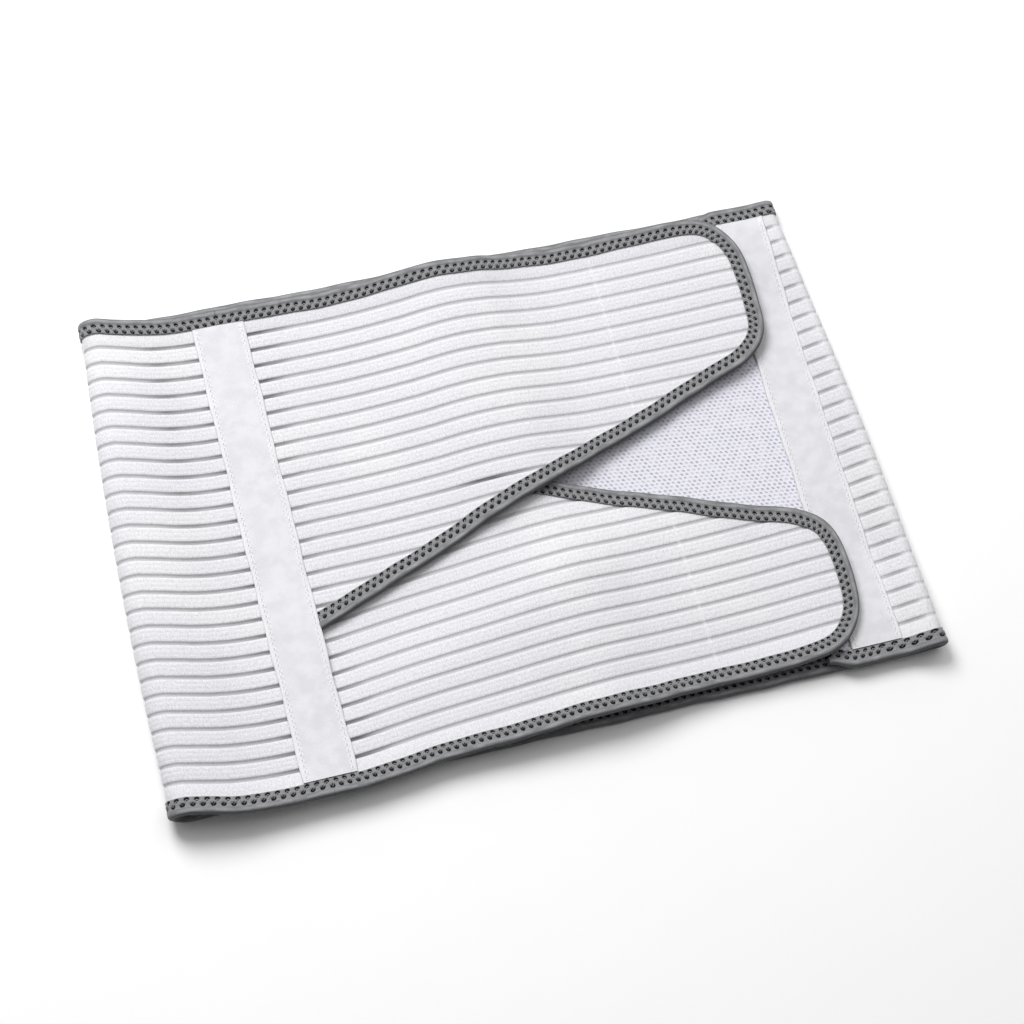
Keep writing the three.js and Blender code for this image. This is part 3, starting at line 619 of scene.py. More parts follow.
# Section of a binding: inward distance from the edge and height off the middle, over the top
# from its inner edge to the rolled outer edge
BINDING_TOP = [(8.0, 1.0), (7.95, 1.45), (7.75, 1.7), (7.35, 1.76), (6.8, 1.78), (6.3, 1.79), (5.9, 1.8),
               (5.5, 1.8), (5.1, 1.8), (4.7, 1.79), (4.3, 1.78), (3.8, 1.79), (3.4, 1.82), (3.0, 1.9),
               (2.5, 2.02), (1.9, 2.05), (1.3, 1.99), (0.8, 1.8), (0.4, 1.4), (0.1, 0.85), (0.0, 0.3)]
BINDING_INSIDE = [(8.0, -0.85), (4.6, -0.85), (1.0, -0.85), (0.8, 0.0), (1.0, 0.85), (4.6, 0.85), (8.0, 0.85)]
STITCH_PITCH = 3.9
PIT_ROWS = [(6.8, 0.0), (4.3, 0.5)]  # distance from the edge, and shift as a share of the pitch
PIT_SIZE = (0.95, 1.08)
PIT_RIM = 1.4
PIT_SLANT = 0.2
PIT_DEPTH = 0.9
PIT_FACE = 1.6  # the section has pits where it is higher than this
WAVES = [(0.22, 9.7, 2), (0.12, 3.7, 1), (0.14, 23, 0)]  # height, length and start
WAVE_ENDS = 15  # the waves rise over this length at both ends


def pits(run, depth):
    """0 to 1 where a binding's stitches draw its knit in."""
    share = np.zeros(np.broadcast(run, depth).shape)
    for row, phase in PIT_ROWS:
        along = ((run / STITCH_PITCH + phase) % 1.0 - 0.5) * STITCH_PITCH
        r = ((depth - row + PIT_SLANT * along) / PIT_SIZE[0]) ** 2 + (along / PIT_SIZE[1]) ** 2
        share = np.maximum(share, np.clip(PIT_RIM - r, 0, 1))
    return share


def binding_wave(run):
    """How far the hand-guided binding strays inward along its run, with both ends in line."""
    ends = (1 - np.exp(-run / WAVE_ENDS)) * (1 - np.exp(-(run[-1] - run) / WAVE_ENDS))
    return ends * sum(height * np.sin(run / length + start) for height, length, start in WAVES)


def build_binding(name, point, run, material, thread_material):
    """A knit binding swept along an edge. point(inward, height) gives its points at every station,
    where inward has a row for each station."""
    top, inner = np.array(BINDING_TOP), np.array(BINDING_INSIDE)
    outer = np.concatenate([top, top[::-1] * [1, -1]])
    count, half = len(run), len(outer)
    pit = pits(run[:, None], outer[None, :, 0]) * (np.abs(outer[:, 1]) > PIT_FACE)
    height = outer[:, 1] * (1 - PIT_DEPTH / BINDING_HALF * pit)
    inward = np.concatenate([outer[:, 0], inner[:, 0]])
    wave = binding_wave(run)[:, None]
    grid = point(inward + wave, np.concatenate([height, np.tile(inner[:, 1], (count, 1))], axis=1))
    size = len(inward)
    faces = ring_faces(count, size, 0)
    # Both ends are closed between the outer and the inner faces
    near = [int(np.argmin(np.abs(top[:, 0] - at))) for at in inner[4:, 0]]
    match = [half - 1 - k for k in near[::-1]] + [half // 2] + near
    for base, flip in ((0, False), ((count - 1) * size, True)):
        for m in range(len(inner) - 1):
            span = list(range(match[m + 1], match[m] + 1))
            ring = [base + j for j in span] + [base + half + m, base + half + m + 1]
            faces.append(ring[::-1] if flip else ring)
    over = np.concatenate([np.where(outer[:, 1] >= 0, outer[:, 0], -outer[:, 0]), inner[:, 0]])
    uv = np.stack(np.broadcast_arrays(run[:, None], over[None, :]), axis=-1)
    piece = mesh_object(name, grid, faces, material, uv)
    return piece, build_thread(name + "_stitch", point, run, thread_material)


THREAD_RADIUS = 0.19
THREAD_SIDES = 6
THREAD_HEIGHT = 1.85
THREAD_DIP = 0.95
STITCH_STEPS = 10  # points of a thread in one pitch


def build_thread(name, point, run, material):
    """The cover stitch: one thread that goes to and fro between the two rows of pits."""
    rows = sorted(row for row, _ in PIT_ROWS)
    tracks = np.array([rows[0], sum(rows) / 2, rows[1]] * 2)
    heights = THREAD_HEIGHT - THREAD_DIP * np.array([1, 0, 1])
    both = np.concatenate([heights, -heights])
    lanes = point(tracks + binding_wave(run)[:, None], np.tile(both, (len(run), 1)))
    steps = np.arange(run[0], run[-1], STITCH_PITCH / STITCH_STEPS)
    swing = 1 - 4 * np.abs(steps / STITCH_PITCH % 1.0 - 0.5)
    index = np.clip(np.searchsorted(run, steps) - 1, 0, len(run) - 2)
    share = ((steps - run[index]) / (run[index + 1] - run[index]))[:, None, None]
    at = mix(lanes[index], lanes[index + 1], share)
    verts, faces = [], []
    w = swing[:, None]
    for side in (0, 1):
        outer, centre, inner = (at[:, 3 * side + k] for k in range(3))
        path = centre + w * (inner - outer) / 2 + w * w * ((inner + outer) / 2 - centre)
        tube_verts, tube_faces = thread_tube(path, sum(map(len, verts)))
        verts.append(tube_verts)
        faces += tube_faces
    return mesh_object(name, np.concatenate(verts), faces, material)


def thread_tube(path, base):
    """Points of a closed tube along a path, and its faces with their numbers from base on."""
    tangent = unit(np.gradient(path, axis=0))
    up = unit(np.cross(tangent, np.roll(tangent, 1, axis=1) + 0.3))
    over = np.cross(tangent, up)
    turn = 2 * math.pi * np.arange(THREAD_SIDES) / THREAD_SIDES
    ring = up[:, None] * np.cos(turn)[None, :, None] + over[:, None] * np.sin(turn)[None, :, None]
    return (path[:, None] + THREAD_RADIUS * ring).reshape(-1, 3), thread_faces(len(path), base)


def thread_faces(rings, base):
    """Faces of a closed thread whose points are numbered ring by ring from base on."""
    first = [base + k for k in range(THREAD_SIDES)]
    last = [corner + (rings - 1) * THREAD_SIDES for corner in first]
    return ring_faces(rings, THREAD_SIDES, base) + [first[::-1], last]


def ring_faces(rows, columns, base):
    """Faces between closed rings of points, numbered the same way."""
    i, j = np.arange(rows - 1)[:, None], np.arange(columns)[None, :]
    k = (j + 1) % columns
    a, b = base + i * columns, base + (i + 1) * columns
    quads = np.stack(np.broadcast_arrays(a + j, a + k, b + k, b + j), axis=-1)
    return quads.reshape(-1, 4).tolist()


STITCH_STEP = 0.65  # between stations of a binding
END_GAP = 0.05
EDGE_PLACES = 2400  # places at which the bound edge's run is measured


def body_binding_stations():
    """Places along the band's run at equal steps of its edge."""
    left_length = LEFT_SEAM - left_fold(0)[1]
    fine = np.linspace(END_GAP / left_length, RUN_END, EDGE_PLACES)
    run = run_lengths(band_middle(fine, 0.9 * HALF_HEIGHT))
    at = np.linspace(0, run[-1], int(run[-1] / STITCH_STEP))
    return np.interp(at, run, fine), at


def tuck_at(x):
    """How far the loop panel's bound edges have drawn in: not under the tape, then ever more."""
    return BOUND_TUCK * (1 - smooth(RIGHT_SEAM - BOUND_RUN, RIGHT_SEAM - TAPE_WIDTH / 2, x))


def build_body_binding(name, side, material, thread_material):
    places, run = body_binding_stations()
    tuck = np.where(places > 5, tuck_at(RIGHT_SEAM - (places - 5) * BOUND_RUN), 0)

    def point(inward, height):
        return band_point(places[:, None], side * (HALF_HEIGHT - inward - tuck[:, None]), height)

    return build_binding(name, point, run, material, thread_material)


def build_tab_binding(name, tab, material, thread_material):
    even, inward, run = resampled(tab_edge_curve(tab), STITCH_STEP)
    tape_edge = LEFT_SEAM + TAPE_WIDTH / 2 + CLEARANCE
    slant_part = (np.arange(len(even)) > len(even) // 2) & (even[:, 0] < tape_edge)
    last = int(np.argmax(slant_part))
    even, inward, run = even[:last], inward[:last], run[:last]
    even[0, 0] += END_GAP

    def point(depth, height):
        place = even[:, None] + inward[:, None] * depth[:, :, None]
        return tab_point(tab, place[..., 0], tab["side"] * place[..., 1], height)

    return build_binding(name, point, run, material, thread_material)


# Half a tape's section: place as a share of its width, and relief
TAPE_HALF = [(0.2, 0.02), (0.36, 0.03), (0.39, -0.1), (0.42, 0.02), (0.46, 0.1), (0.485, -0.02), (0.5, -0.3)]
TAPE_SECTION = [*((-at, relief) for at, relief in TAPE_HALF[::-1]), (0, 0.02), *TAPE_HALF]
TAPE_BORDER = 0.4  # share of the width where the tape's wavy border begins
TAPE_WAVES = [(0.22, 9, 0), (0.16, 4.1, 1)]  # height, length, and 1 where the seam's place sets the start
TAPE_STATIONS = 150
TAPE_STITCH_ROW = 0.425
TAPE_STITCH_PITCH = 2.7
STITCH_HALF = 0.95
STITCH_RADIUS = 0.36
STITCH_RINGS = [(-1, 0.15), (-0.8, 0.75), (0, 1), (0.8, 0.75), (1, 0.15)]  # place and width, as shares


def build_tape(name, seam, slide, middle, material, thread_material):
    end = HALF_HEIGHT - BINDING_WIDTH - CLEARANCE
    above = ELASTIC_WALL / 2 + CLEARANCE + TAPE_WALL / 2
    along = np.linspace(-end, end, TAPE_STATIONS)
    section, relief = np.array(TAPE_SECTION).T
    sway = sum(height * np.sin(along / length + own * seam) for height, length, own in TAPE_WAVES)
    border = np.sign(section) * (np.abs(section) > TAPE_BORDER)
    xs = seam + section[None, :] * TAPE_WIDTH + sway[:, None] * border
    ys = np.broadcast_to(along[:, None] + slide, xs.shape)
    face = lifted(middle, xs, ys, above + TAPE_WALL / 2 + relief[None, :])
    back = lifted(middle, xs, ys, above - TAPE_WALL / 2)
    piece = plain_cloth(name, face, back, np.stack([xs - seam, ys - slide], axis=-1), material, 2)
    top = above + TAPE_WALL / 2
    return piece, build_stitches(name + "_stitch", seam, slide, end, middle, top, thread_material)


def stitch_points(centre, axis, up):
    """Points of a short thread lying along an axis, thin at both ends."""
    across_it = np.cross(axis, up)
    rings = []
    for along, width in STITCH_RINGS:
        for k in range(THREAD_SIDES):
            turn = 2 * math.pi * k / THREAD_SIDES
            offset = STITCH_RADIUS * width * (up * math.cos(turn) + across_it * math.sin(turn))
            rings.append(centre + axis * STITCH_HALF * along + offset)
    return rings


def build_stitches(name, seam, slide, end, middle, height, material):
    """Straight stitches along both edges of a tape."""
    verts, faces = [], []
    at = np.arange(-end + TAPE_STITCH_PITCH, end - TAPE_STITCH_PITCH, TAPE_STITCH_PITCH)
    for side in (-1, 1):
        x = seam + side * TAPE_STITCH_ROW * TAPE_WIDTH
        for v in at:
            ends = lifted(middle, np.array([x, x]), np.array([v - 0.1, v + 0.1]) + slide, height)
            axis = unit(ends[1] - ends[0])
            up = unit(np.cross(np.array([1.0, 0.0, 0.0]), axis))
            faces += thread_faces(len(STITCH_RINGS), len(verts))
            verts += stitch_points(ends.mean(axis=0), axis, up)
    return mesh_object(name, np.array(verts), faces, material)


LOOP_STATIONS = (76, 26)  # in its loose run and its bound run
LOOP_LINES = 140
HOOK_LINES = 60


def build_loop_panel(material):
    end = RIGHT_SEAM - CLEARANCE / 2
    start = end - LOOP_PANEL_LENGTH
    slide = -FRONT_SLIDE * column(SLIDE_ROWS, "slide", 4)
    bound = HALF_HEIGHT - BOUND_INSET
    turn = RIGHT_SEAM - BOUND_RUN
    loose, held = LOOP_STATIONS
    x = np.concatenate([np.linspace(start, turn, loose), np.linspace(turn + 0.5, end, held)])
    v = np.linspace(-bound, bound, LOOP_LINES)
    free = 1 - smooth(turn + CLEARANCE, turn + 3, x)
    narrowed = mix(bound - tuck_at(x), HALF_HEIGHT - LOOP_PANEL_INSET, free) / bound
    xs = np.broadcast_to(x[:, None], (len(x), len(v)))
    ys = v[None, :] * narrowed[:, None] + slide
    face = lifted(loop_middle, xs, ys, LOOP_WALL / 2)
    back = lifted(loop_middle, xs, ys, -LOOP_WALL / 2)
    return plain_cloth("loop_panel_cloth", face, back, np.stack([xs, ys], axis=-1), material)


def build_hook_pad(name, tab, material):
    inset = BINDING_WIDTH + HOOK_PAD_INSET
    x = tab_places(tab, LEFT_SEAM + tab["reach"] - HOOK_PAD_LENGTH, inset, HOOK_STEP)
    low, high = tab_limits(tab, inset, x)
    at = np.sort(np.linspace(0, HALF_HEIGHT, HOOK_LINES) * tab["side"])
    v = np.clip(at[None, :], low[:, None], high[:, None])
    xs = np.broadcast_to(x[:, None], v.shape)
    below = ELASTIC_WALL / 2 + CLEARANCE + HOOK_WALL / 2
    face = tab_point(tab, xs, v, -below + HOOK_WALL / 2)
    back = tab_point(tab, xs, v, -below - HOOK_WALL / 2)
    return plain_cloth(name, face, back, np.stack([xs, v], axis=-1), material)


# Materials

class Nodes:
    """Short ways to add nodes to a new material or world."""

    def __init__(self, name, kind=bpy.data.materials):
        self.owner = kind.new(name)
        self.owner.use_nodes = True
        self.tree = self.owner.node_tree

    def put(self, socket, value):
        """A link from another node's socket, or else a constant."""
        if isinstance(value, bpy.types.NodeSocket):
            self.tree.links.new(value, socket)
        else:
            socket.default_value = (*value, 1) if socket.type == "RGBA" else value

    def add(self, kind, inputs=None, **settings):
        """Outputs of a new node, whose inputs are given by name or number."""
        node = self.tree.nodes.new(kind)
        for key, value in settings.items():
            setattr(node, key, value)
        for key, value in (inputs or {}).items():
            self.put(node.inputs[key], value)
        return node.outputs

    def math(self, operation, a, b=None, clamp=False):
        inputs = {0: a} if b is None else {0: a, 1: b}
        return self.add("ShaderNodeMath", inputs, operation=operation, use_clamp=clamp)[0]

    def times(self, a, b):
        return self.math("MULTIPLY", a, b)

    def plus(self, a, b, clamp=False):
        return self.math("ADD", a, b, clamp)

    def minus(self, a, b, clamp=False):
        return self.math("SUBTRACT", a, b, clamp)

    def square(self, value):
        return self.times(value, value)

    def fraction(self, value):
        """How far a value is past a whole number, less a half. Right for values above -1000."""
        return self.minus(self.math("FRACT", self.plus(value, 1000)), 0.5)

    def less(self, value):
        return self.minus(1.0, value)

    def ramp(self, value, low, high):
        inputs = {"Value": value, "From Min": low, "From Max": high}
        settings = {"interpolation_type": "SMOOTHSTEP", "clamp": True}
        return self.add("ShaderNodeMapRange", inputs, **settings)["Result"]

    def near(self, value, place, low, high):
        """1 where a value is nearer to a place than low, 0 where it is farther than high."""
        return self.less(self.ramp(self.math("ABSOLUTE", self.minus(value, place)), low, high))

    def colour(self, share, first, second):
        inputs = {"Factor": share, 6: first, 7: second}
        return self.add("ShaderNodeMix", inputs, data_type="RGBA")[2]

    def tint(self, base, share, strength, colour):
        """The base, turned towards a colour by a share times a strength."""
        return self.colour(self.times(share, strength), base, colour)

    def attribute(self, name):
        return self.add("ShaderNodeAttribute", attribute_name=name)["Fac"]

    def uv(self):
        """The place on the flat cloth: as a vector, along its run and across it."""
        vector = self.add("ShaderNodeUVMap", uv_map="cloth")[0]
        split = self.add("ShaderNodeSeparateXYZ", {0: vector})
        return vector, split[0], split[1]

    def stretched(self, vector, scale):
        return self.add("ShaderNodeVectorMath", {0: vector, 1: scale}, operation="MULTIPLY")[0]

    def wave(self, vector, direction, scale, distortion):
        at = self.stretched(vector, (1000, 1000, 1))
        inputs = {"Vector": at, "Scale": scale, "Distortion": distortion}
        settings = {"wave_type": "BANDS", "bands_direction": direction}
        return self.add("ShaderNodeTexWave", inputs, **settings)["Fac"]

    def noise(self, scale, detail=2.0, vector=None):
        if vector is None:
            vector = self.add("ShaderNodeTexCoord")["Object"]
        inputs = {"Scale": scale, "Detail": detail, "Vector": vector}
        return self.add("ShaderNodeTexNoise", inputs)["Fac"]

    def grain(self, vector, along, over, detail=2.0):
        """Noise on the flat cloth, with so many cells in a metre along its run and across it."""
        return self.noise(1, detail, self.stretched(vector, (along, over, 1)))

    def finish(self, colour, roughness, sheen, bump=None):
        """The material, with its bump's height, strength and distance."""
        shader = self.tree.nodes["Principled BSDF"].inputs
        values = {"Base Color": colour, "Roughness": roughness, "Sheen Weight": sheen,
                  "Specular IOR Level": 0.25}
        if bump:
            inputs = dict(zip(("Height", "Strength", "Distance"), bump))
            values["Normal"] = self.add("ShaderNodeBump", inputs)[0]
        for name, value in values.items():
            self.put(shader[name], value)
        return self.owner


GROOVED_TO = (0.1075, 0.1085)  # metres from the band's middle between which the grooves end


def elastic_material():
    n = Nodes("ribbed_elastic")
    vector, _, v = n.uv()
    # Distance from the nearest groove's middle, in millimetres
    groove_share = n.plus(n.math("DIVIDE", v, RIB_PITCH * MM), 0.5 - (GROOVES - 1) / 2 % 1)
    off = n.times(n.math("ABSOLUTE", n.fraction(groove_share)), RIB_PITCH)
    within = n.less(n.ramp(n.math("ABSOLUTE", v), *GROOVED_TO))
    shown = n.minus(within, n.attribute("fade"), True)
    groove = n.times(n.less(n.ramp(off, 0.55, 1.3)), shown)
    streak = n.near(off, STREAK_AT, 0.1, 0.55)
    patch = n.noise(45, 3)
    warm = n.ramp(n.noise(16, 2), 0.5, 0.7)
    knit = n.grain(vector, 1400, 1050)
    strand = n.ramp(n.grain(vector, 1250, 330), 0.46, 0.7)
    loops = n.grain(vector, 900, 3200, 1)
    along = n.grain(vector, 95, 800)
    white = n.colour(patch, (0.645, 0.637, 0.678), (0.735, 0.728, 0.758))
    white = n.tint(white, warm, 0.3, (0.86, 0.835, 0.82))
    white = n.tint(white, n.times(strand, patch), 0.8, (0.58, 0.575, 0.61))
    white = n.tint(white, n.ramp(knit, 0.42, 0.66), 0.6, (0.865, 0.858, 0.882))
    white = n.tint(white, n.times(streak, along), 0.3, (0.6, 0.6, 0.62))
    # Painted shade: the grooves' net goes from its own grey towards near black, as the shadow under the sheer
    # net
    varied = n.times(n.attribute("net_shade"), n.plus(n.times(along, 0.9), 0.55))
    dark = n.colour(varied, (0.615, 0.61, 0.635), (0.07, 0.07, 0.077))
    dark = n.tint(dark, loops, 0.2, (0.66, 0.66, 0.68))
    base = n.colour(groove, white, dark)
    line = n.times(n.attribute("line"), n.ramp(knit, 0.35, 0.6))
    base = n.tint(base, line, 0.4, (0.88, 0.875, 0.9))
    height = n.plus(n.times(knit, 0.5), n.times(loops, 0.3))
    return n.finish(base, 0.92, 0.15, (n.plus(height, n.times(strand, 0.6)), 0.5, 0.0003))


def stitch_hole_shade(n, u, inward):
    """1 in the middles of the two rows of holes that a binding's cover stitch makes, which are painted near
    black as shade in them.
    """
    rows = []
    for row, phase in PIT_ROWS:
        share = n.fraction(n.plus(n.math("DIVIDE", u, STITCH_PITCH * MM), phase))
        along = n.times(share, STITCH_PITCH)
        over = n.plus(n.minus(inward, row), n.times(along, PIT_SLANT))
        distance = n.plus(n.square(n.math("DIVIDE", over, PIT_SIZE[0])),
                          n.square(n.math("DIVIDE", along, PIT_SIZE[1])))
        rows.append(n.less(n.ramp(distance, 0.6, PIT_RIM)))
    return n.math("MAXIMUM", *rows)


def binding_material():
    n = Nodes("binding_knit")
    vector, u, v = n.uv()
    inward = n.math("DIVIDE", n.math("ABSOLUTE", v), MM)
    knit = n.grain(vector, 1500, 2400)
    patch = n.grain(vector, 120, 500, 3)
    wales = n.wave(vector, "X", 0.42, 1.5)
    rolled = n.colour(n.ramp(patch, 0.3, 0.7), (0.2, 0.202, 0.212), (0.4, 0.402, 0.415))
    rolled = n.tint(rolled, knit, 0.3, (0.2, 0.202, 0.21))
    # Painted shade: the rolled edge is painted darker towards its rim, on top and underneath
    rolled = n.tint(rolled, n.less(n.ramp(inward, 0.2, 1.7)), 0.85, (0.075, 0.076, 0.082))
    sewn = n.colour(knit, (0.19, 0.191, 0.2), (0.36, 0.362, 0.372))
    grey = n.colour(n.ramp(inward, 2.4, 3.3), rolled, sewn)
    # Painted shade in the crease beside the rolled edge
    grey = n.tint(grey, n.near(inward, 2.95, 0.0, 0.6), 0.35, (0.08, 0.08, 0.09))
    grey = n.tint(grey, wales, 0.2, (0.1, 0.1, 0.105))
    # The stitch holes are painted near black: painted shade inside them
    base = n.colour(stitch_hole_shade(n, u, inward), grey, (0.003, 0.003, 0.004))
    return n.finish(base, 0.85, 0.1, (n.plus(knit, n.times(wales, 0.7)), 0.5, 0.0003))


def thread_material(name, colour):
    n = Nodes(name)
    twist = n.noise(2500, 2)
    base = n.colour(twist, tuple(c * 0.8 for c in colour), colour)
    return n.finish(base, 0.7, 0.1, (twist, 0.3, 0.0002))


def tape_material():
    n = Nodes("woven_tape")
    vector, u, v = n.uv()
    weft = n.wave(vector, "DIAGONAL", 0.55, 2.0)
    cloudy = n.ramp(n.noise(150, 4), 0.3, 0.7)
    from_middle = n.math("ABSOLUTE", u)
    base = n.colour(cloudy, (0.62, 0.618, 0.655), (0.715, 0.714, 0.745))
    base = n.tint(base, n.noise(40, 2), 0.3, (0.83, 0.828, 0.852))
    base = n.tint(base, weft, 0.15, (0.9, 0.9, 0.92))
    # The sewn border: pale, and dimpled between the stitches, with painted shade in the dimples
    row = TAPE_STITCH_ROW * TAPE_WIDTH
    border = n.ramp(from_middle, (row - 1.3) * MM, (row - 0.5) * MM)
    base = n.tint(base, border, 0.4, (0.86, 0.86, 0.88))
    end = HALF_HEIGHT - BINDING_WIDTH - CLEARANCE
    share = n.fraction(n.math("DIVIDE", n.plus(v, end * MM), TAPE_STITCH_PITCH * MM))
    between = n.less(n.ramp(n.math("ABSOLUTE", share), 0.1, 0.3))
    beside = n.math("DIVIDE", n.minus(from_middle, (row - 0.2) * MM), 1.1 * MM)
    dimple = n.times(between, n.less(n.ramp(n.square(beside), 0.3, 1.2)))
    uneven = n.plus(n.times(n.ramp(n.noise(260, 2), 0.35, 0.65), 0.45), 0.05)
    # Painted shade in the dimples
    base = n.tint(base, dimple, uneven, (0.56, 0.56, 0.58))
    height = n.minus(n.times(weft, 0.4), n.times(dimple, 0.8))
    return n.finish(base, 0.8, 0.1, (n.plus(height, n.times(cloudy, 0.5)), 0.4, 0.0004))


LOOP_CELL = (2.6, 1.9)
LOOP_GAP = (0.27, 0.34)  # half sizes as shares of the cell
LOOP_SLOPE = 0.12
LOOP_LEAN = 0.3


def loop_material():
    n = Nodes("loop_knit")
    _, u, v = n.uv()
    # Small slanted gaps between the loops, in staggered rows, painted darker as the shade seen through them
    rows = n.math("DIVIDE", n.plus(v, n.times(u, LOOP_SLOPE)), LOOP_CELL[1] * MM)
    number = n.math("FLOOR", n.plus(rows, 1000))
    stagger = n.times(n.math("MODULO", number, 2.0), 0.5)
    along = n.fraction(n.plus(n.math("DIVIDE", u, LOOP_CELL[0] * MM), stagger))
    over = n.fraction(rows)
    leaned = n.plus(along, n.times(over, LOOP_LEAN))
    distance = n.plus(n.square(n.math("DIVIDE", leaned, LOOP_GAP[0])),
                      n.square(n.math("DIVIDE", over, LOOP_GAP[1])))
    gap = n.less(n.ramp(distance, 0.25, 1.4))
    fuzz = n.noise(900, 3)
    base = n.colour(fuzz, (0.705, 0.697, 0.775), (0.805, 0.797, 0.86))
    uneven = n.plus(n.ramp(n.noise(260, 2), 0.35, 0.65), 0.2, True)
    # Painted shade in the gaps between the loops
    base = n.tint(base, gap, uneven, (0.43, 0.423, 0.505))
    return n.finish(base, 0.95, 0.25, (n.minus(n.times(fuzz, 0.3), gap), 0.55, 0.0005))


def hook_material():
    n = Nodes("hook_tape")
    grain = n.noise(1600, 2)
    base = n.colour(grain, (0.7, 0.7, 0.71), (0.84, 0.84, 0.85))
    return n.finish(base, 0.6, 0.0, (grain, 0.6, 0.0004))


def floor_material():
    n = Nodes("white_table")
    speck = n.noise(30, 2)
    base = n.colour(speck, (0.97, 0.97, 0.97), (0.985, 0.985, 0.985))
    return n.finish(base, 0.9, 0.0)


def area_light(name, place, size, power):
    """A round lamp that points at the middle of the table."""
    data = bpy.data.lights.new(name, "AREA")
    data.shape, data.size, data.energy = "DISK", size, power
    light = bpy.data.objects.new(name, data)
    bpy.context.scene.collection.objects.link(light)
    light.location = place
    light.rotation_euler = (-Vector(place)).to_track_quat("-Z", "Y").to_euler()


# The camera from where the photograph was taken, with its roll
CAMERA_PLACE = (-0.22307663, -0.35037896, 1.06109273)
CAMERA_TURN = (0.34912941, -0.11987913, -0.26633587)
FOCAL_PIXELS = 2400
IMAGE_PIXELS = 1024
SENSOR = 36


def build_camera():
    data = bpy.data.cameras.new("photo_camera")
    data.sensor_width = SENSOR
    data.lens = FOCAL_PIXELS / IMAGE_PIXELS * SENSOR
    data.clip_start, data.clip_end = 0.05, 20
    camera = bpy.data.objects.new("photo_camera", data)
    bpy.context.scene.collection.objects.link(camera)
    camera.location = CAMERA_PLACE
    camera.rotation_euler = CAMERA_TURN
    bpy.context.scene.camera = camera


# Lamps: place, size and power
LAMPS = {"key": ((-0.32, 0.72, 1.0), 0.68, 14.5), "fill": ((0.6, 0.35, 1.6), 1.4, 5.5)}
TABLE_HALF = 4.0
ROOM_STRENGTH = 0.35
ROOM_RANGE = (0.25, 1.75)  # how bright the room is in front of the binder and behind it


def build_studio():
    mesh = bpy.data.meshes.new("table")
    corners = [(x * TABLE_HALF, y * TABLE_HALF, 0) for x, y in ((-1, -1), (1, -1), (1, 1), (-1, 1))]
    mesh.from_pydata(corners, [], [(0, 1, 2, 3)])
    mesh.materials.append(floor_material())
    table = bpy.data.objects.new("table", mesh)
    bpy.context.scene.collection.objects.link(table)
    world = Nodes("studio", bpy.data.worlds)
    toward = world.add("ShaderNodeSeparateXYZ", {0: world.add("ShaderNodeTexCoord")["Generated"]})["Y"]
    low, high = ROOM_RANGE
    inputs = {"Value": toward, "From Min": -0.5, "From Max": 0.5, "To Min": low, "To Max": high}
    light = world.tree.nodes["Background"].inputs
    world.put(light["Strength"], ROOM_STRENGTH)
    world.put(light["Color"], world.add("ShaderNodeMapRange", inputs)["Result"])
    bpy.context.scene.world = world.owner
    for name, (place, size, power) in LAMPS.items():
        area_light(name, place, size, power)
    bpy.context.scene.view_settings.view_transform = "Standard"


build_camera()
build_studio()

elastic = elastic_material()
grey_knit = binding_material()
grey_thread = thread_material("binding_thread", (0.3, 0.302, 0.315))
tape_cloth = tape_material()
white_thread = thread_material("white_thread", (0.83, 0.83, 0.85))
loop_cloth = loop_material()
hook_cloth = hook_material()

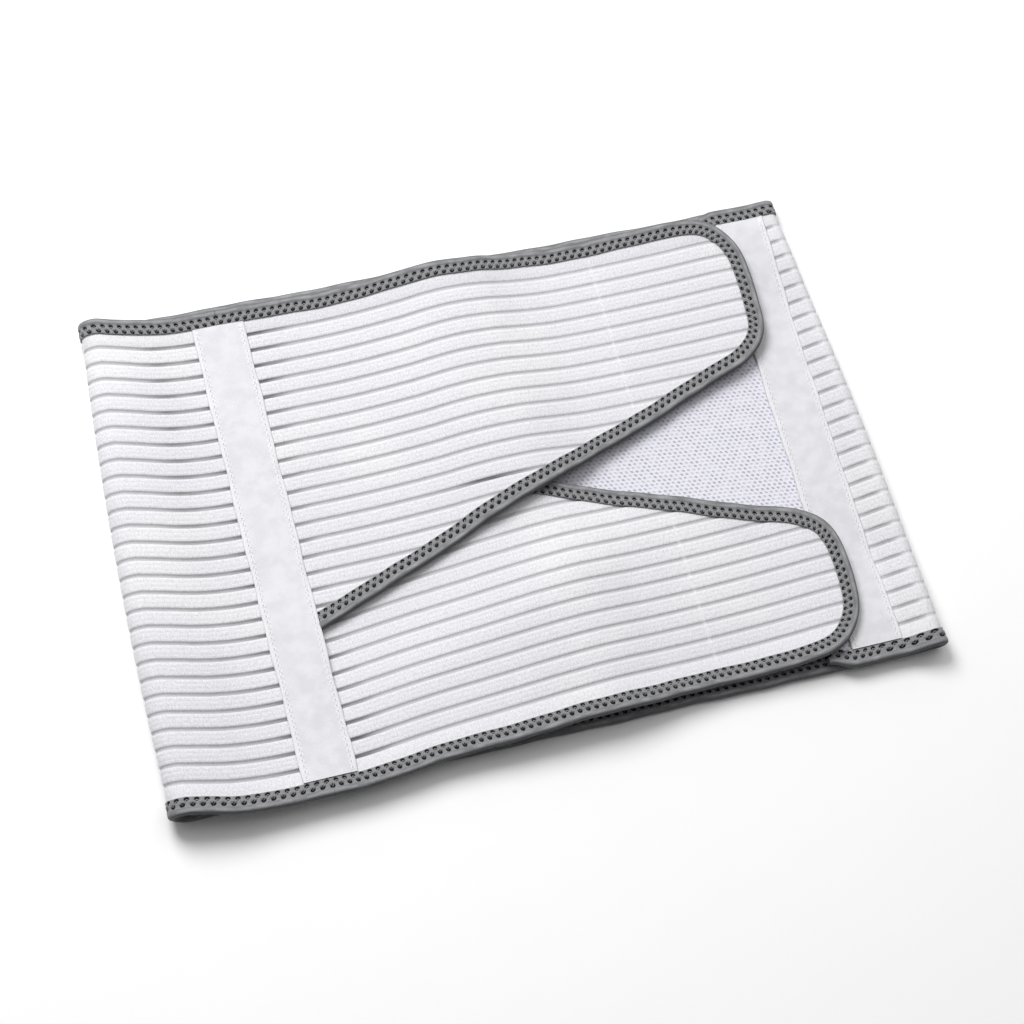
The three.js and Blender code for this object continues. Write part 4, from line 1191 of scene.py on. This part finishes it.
body = build_body(elastic)
upper = build_tab("upper_tab_cloth", UPPER, elastic)
lower = build_tab("lower_tab_cloth", LOWER, elastic)
loop = build_loop_panel(loop_cloth)
right_slide = -FRONT_SLIDE * column(SLIDE_ROWS, "slide", 4)
white = (tape_cloth, white_thread)
grey = (grey_knit, grey_thread)
left_tape, left_marks = build_tape("left_tape_cloth", LEFT_SEAM, -FRONT_SLIDE, front_middle, *white)
right_tape, right_marks = build_tape("right_tape_cloth", RIGHT_SEAM, right_slide, loop_middle, *white)
top_binding, top_thread = build_body_binding("top_binding", 1, *grey)
bottom_binding, bottom_thread = build_body_binding("bottom_binding", -1, *grey)
upper_binding, upper_thread = build_tab_binding("upper_binding", UPPER, *grey)
lower_binding, lower_thread = build_tab_binding("lower_binding", LOWER, *grey)
upper_hooks = build_hook_pad("upper_hooks", UPPER, hook_cloth)
lower_hooks = build_hook_pad("lower_hooks", LOWER, hook_cloth)

# Each sheet: its node, slot, threads, flat size, flat area, how it is held and what it rests on
SHEETS = [
    (body, "body_panel", "ribbed_elastic", [], (0.242, 0.475), None, "folded", []),
    (upper, "upper_tab", "ribbed_elastic", [], (0.1694, 0.2614), 0.0313, "laid", ["lower_tab", "loop_panel"]),
    (lower, "lower_tab", "ribbed_elastic", [], (0.1677, 0.2636), 0.0305, "laid", ["loop_panel"]),
    (loop, "loop_panel", "loop_knit", [], (0.146, 0.2394), 0.0321, "laid", ["body_panel"]),
    (left_tape, "left_tape", "woven_tape", [left_marks], (0.025, 0.2254), None, "laid",
     ["body_panel", "upper_tab"]),
    (right_tape, "right_tape", "woven_tape", [right_marks], (0.025, 0.2254), None, "laid",
     ["body_panel", "loop_panel"]),
    (top_binding, "body_top_binding", "binding_knit", [top_thread], (0.0205, 0.5), None, "folded",
     ["body_panel"]),
    (bottom_binding, "body_bottom_binding", "binding_knit", [bottom_thread], (0.0205, 0.5), None, "folded",
     ["body_panel"]),
    (upper_binding, "upper_tab_binding", "binding_knit", [upper_thread], (0.0205, 0.6), None, "folded",
     ["upper_tab"]),
    (lower_binding, "lower_tab_binding", "binding_knit", [lower_thread], (0.0205, 0.6), None, "folded",
     ["lower_tab"]),
    (upper_hooks, "upper_hook_pad", "hook_tape", [], (0.078, 0.08), 0.0047, "laid", ["upper_tab"]),
    (lower_hooks, "lower_hook_pad", "hook_tape", [], (0.078, 0.08), 0.0047, "laid", ["lower_tab"]),
]
for piece, node, slot, *_ in SHEETS:
    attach(piece, "root")
    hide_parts(node)
for _, _, slot, threads, *_ in SHEETS:
    for thread in threads:
        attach(thread, "root")
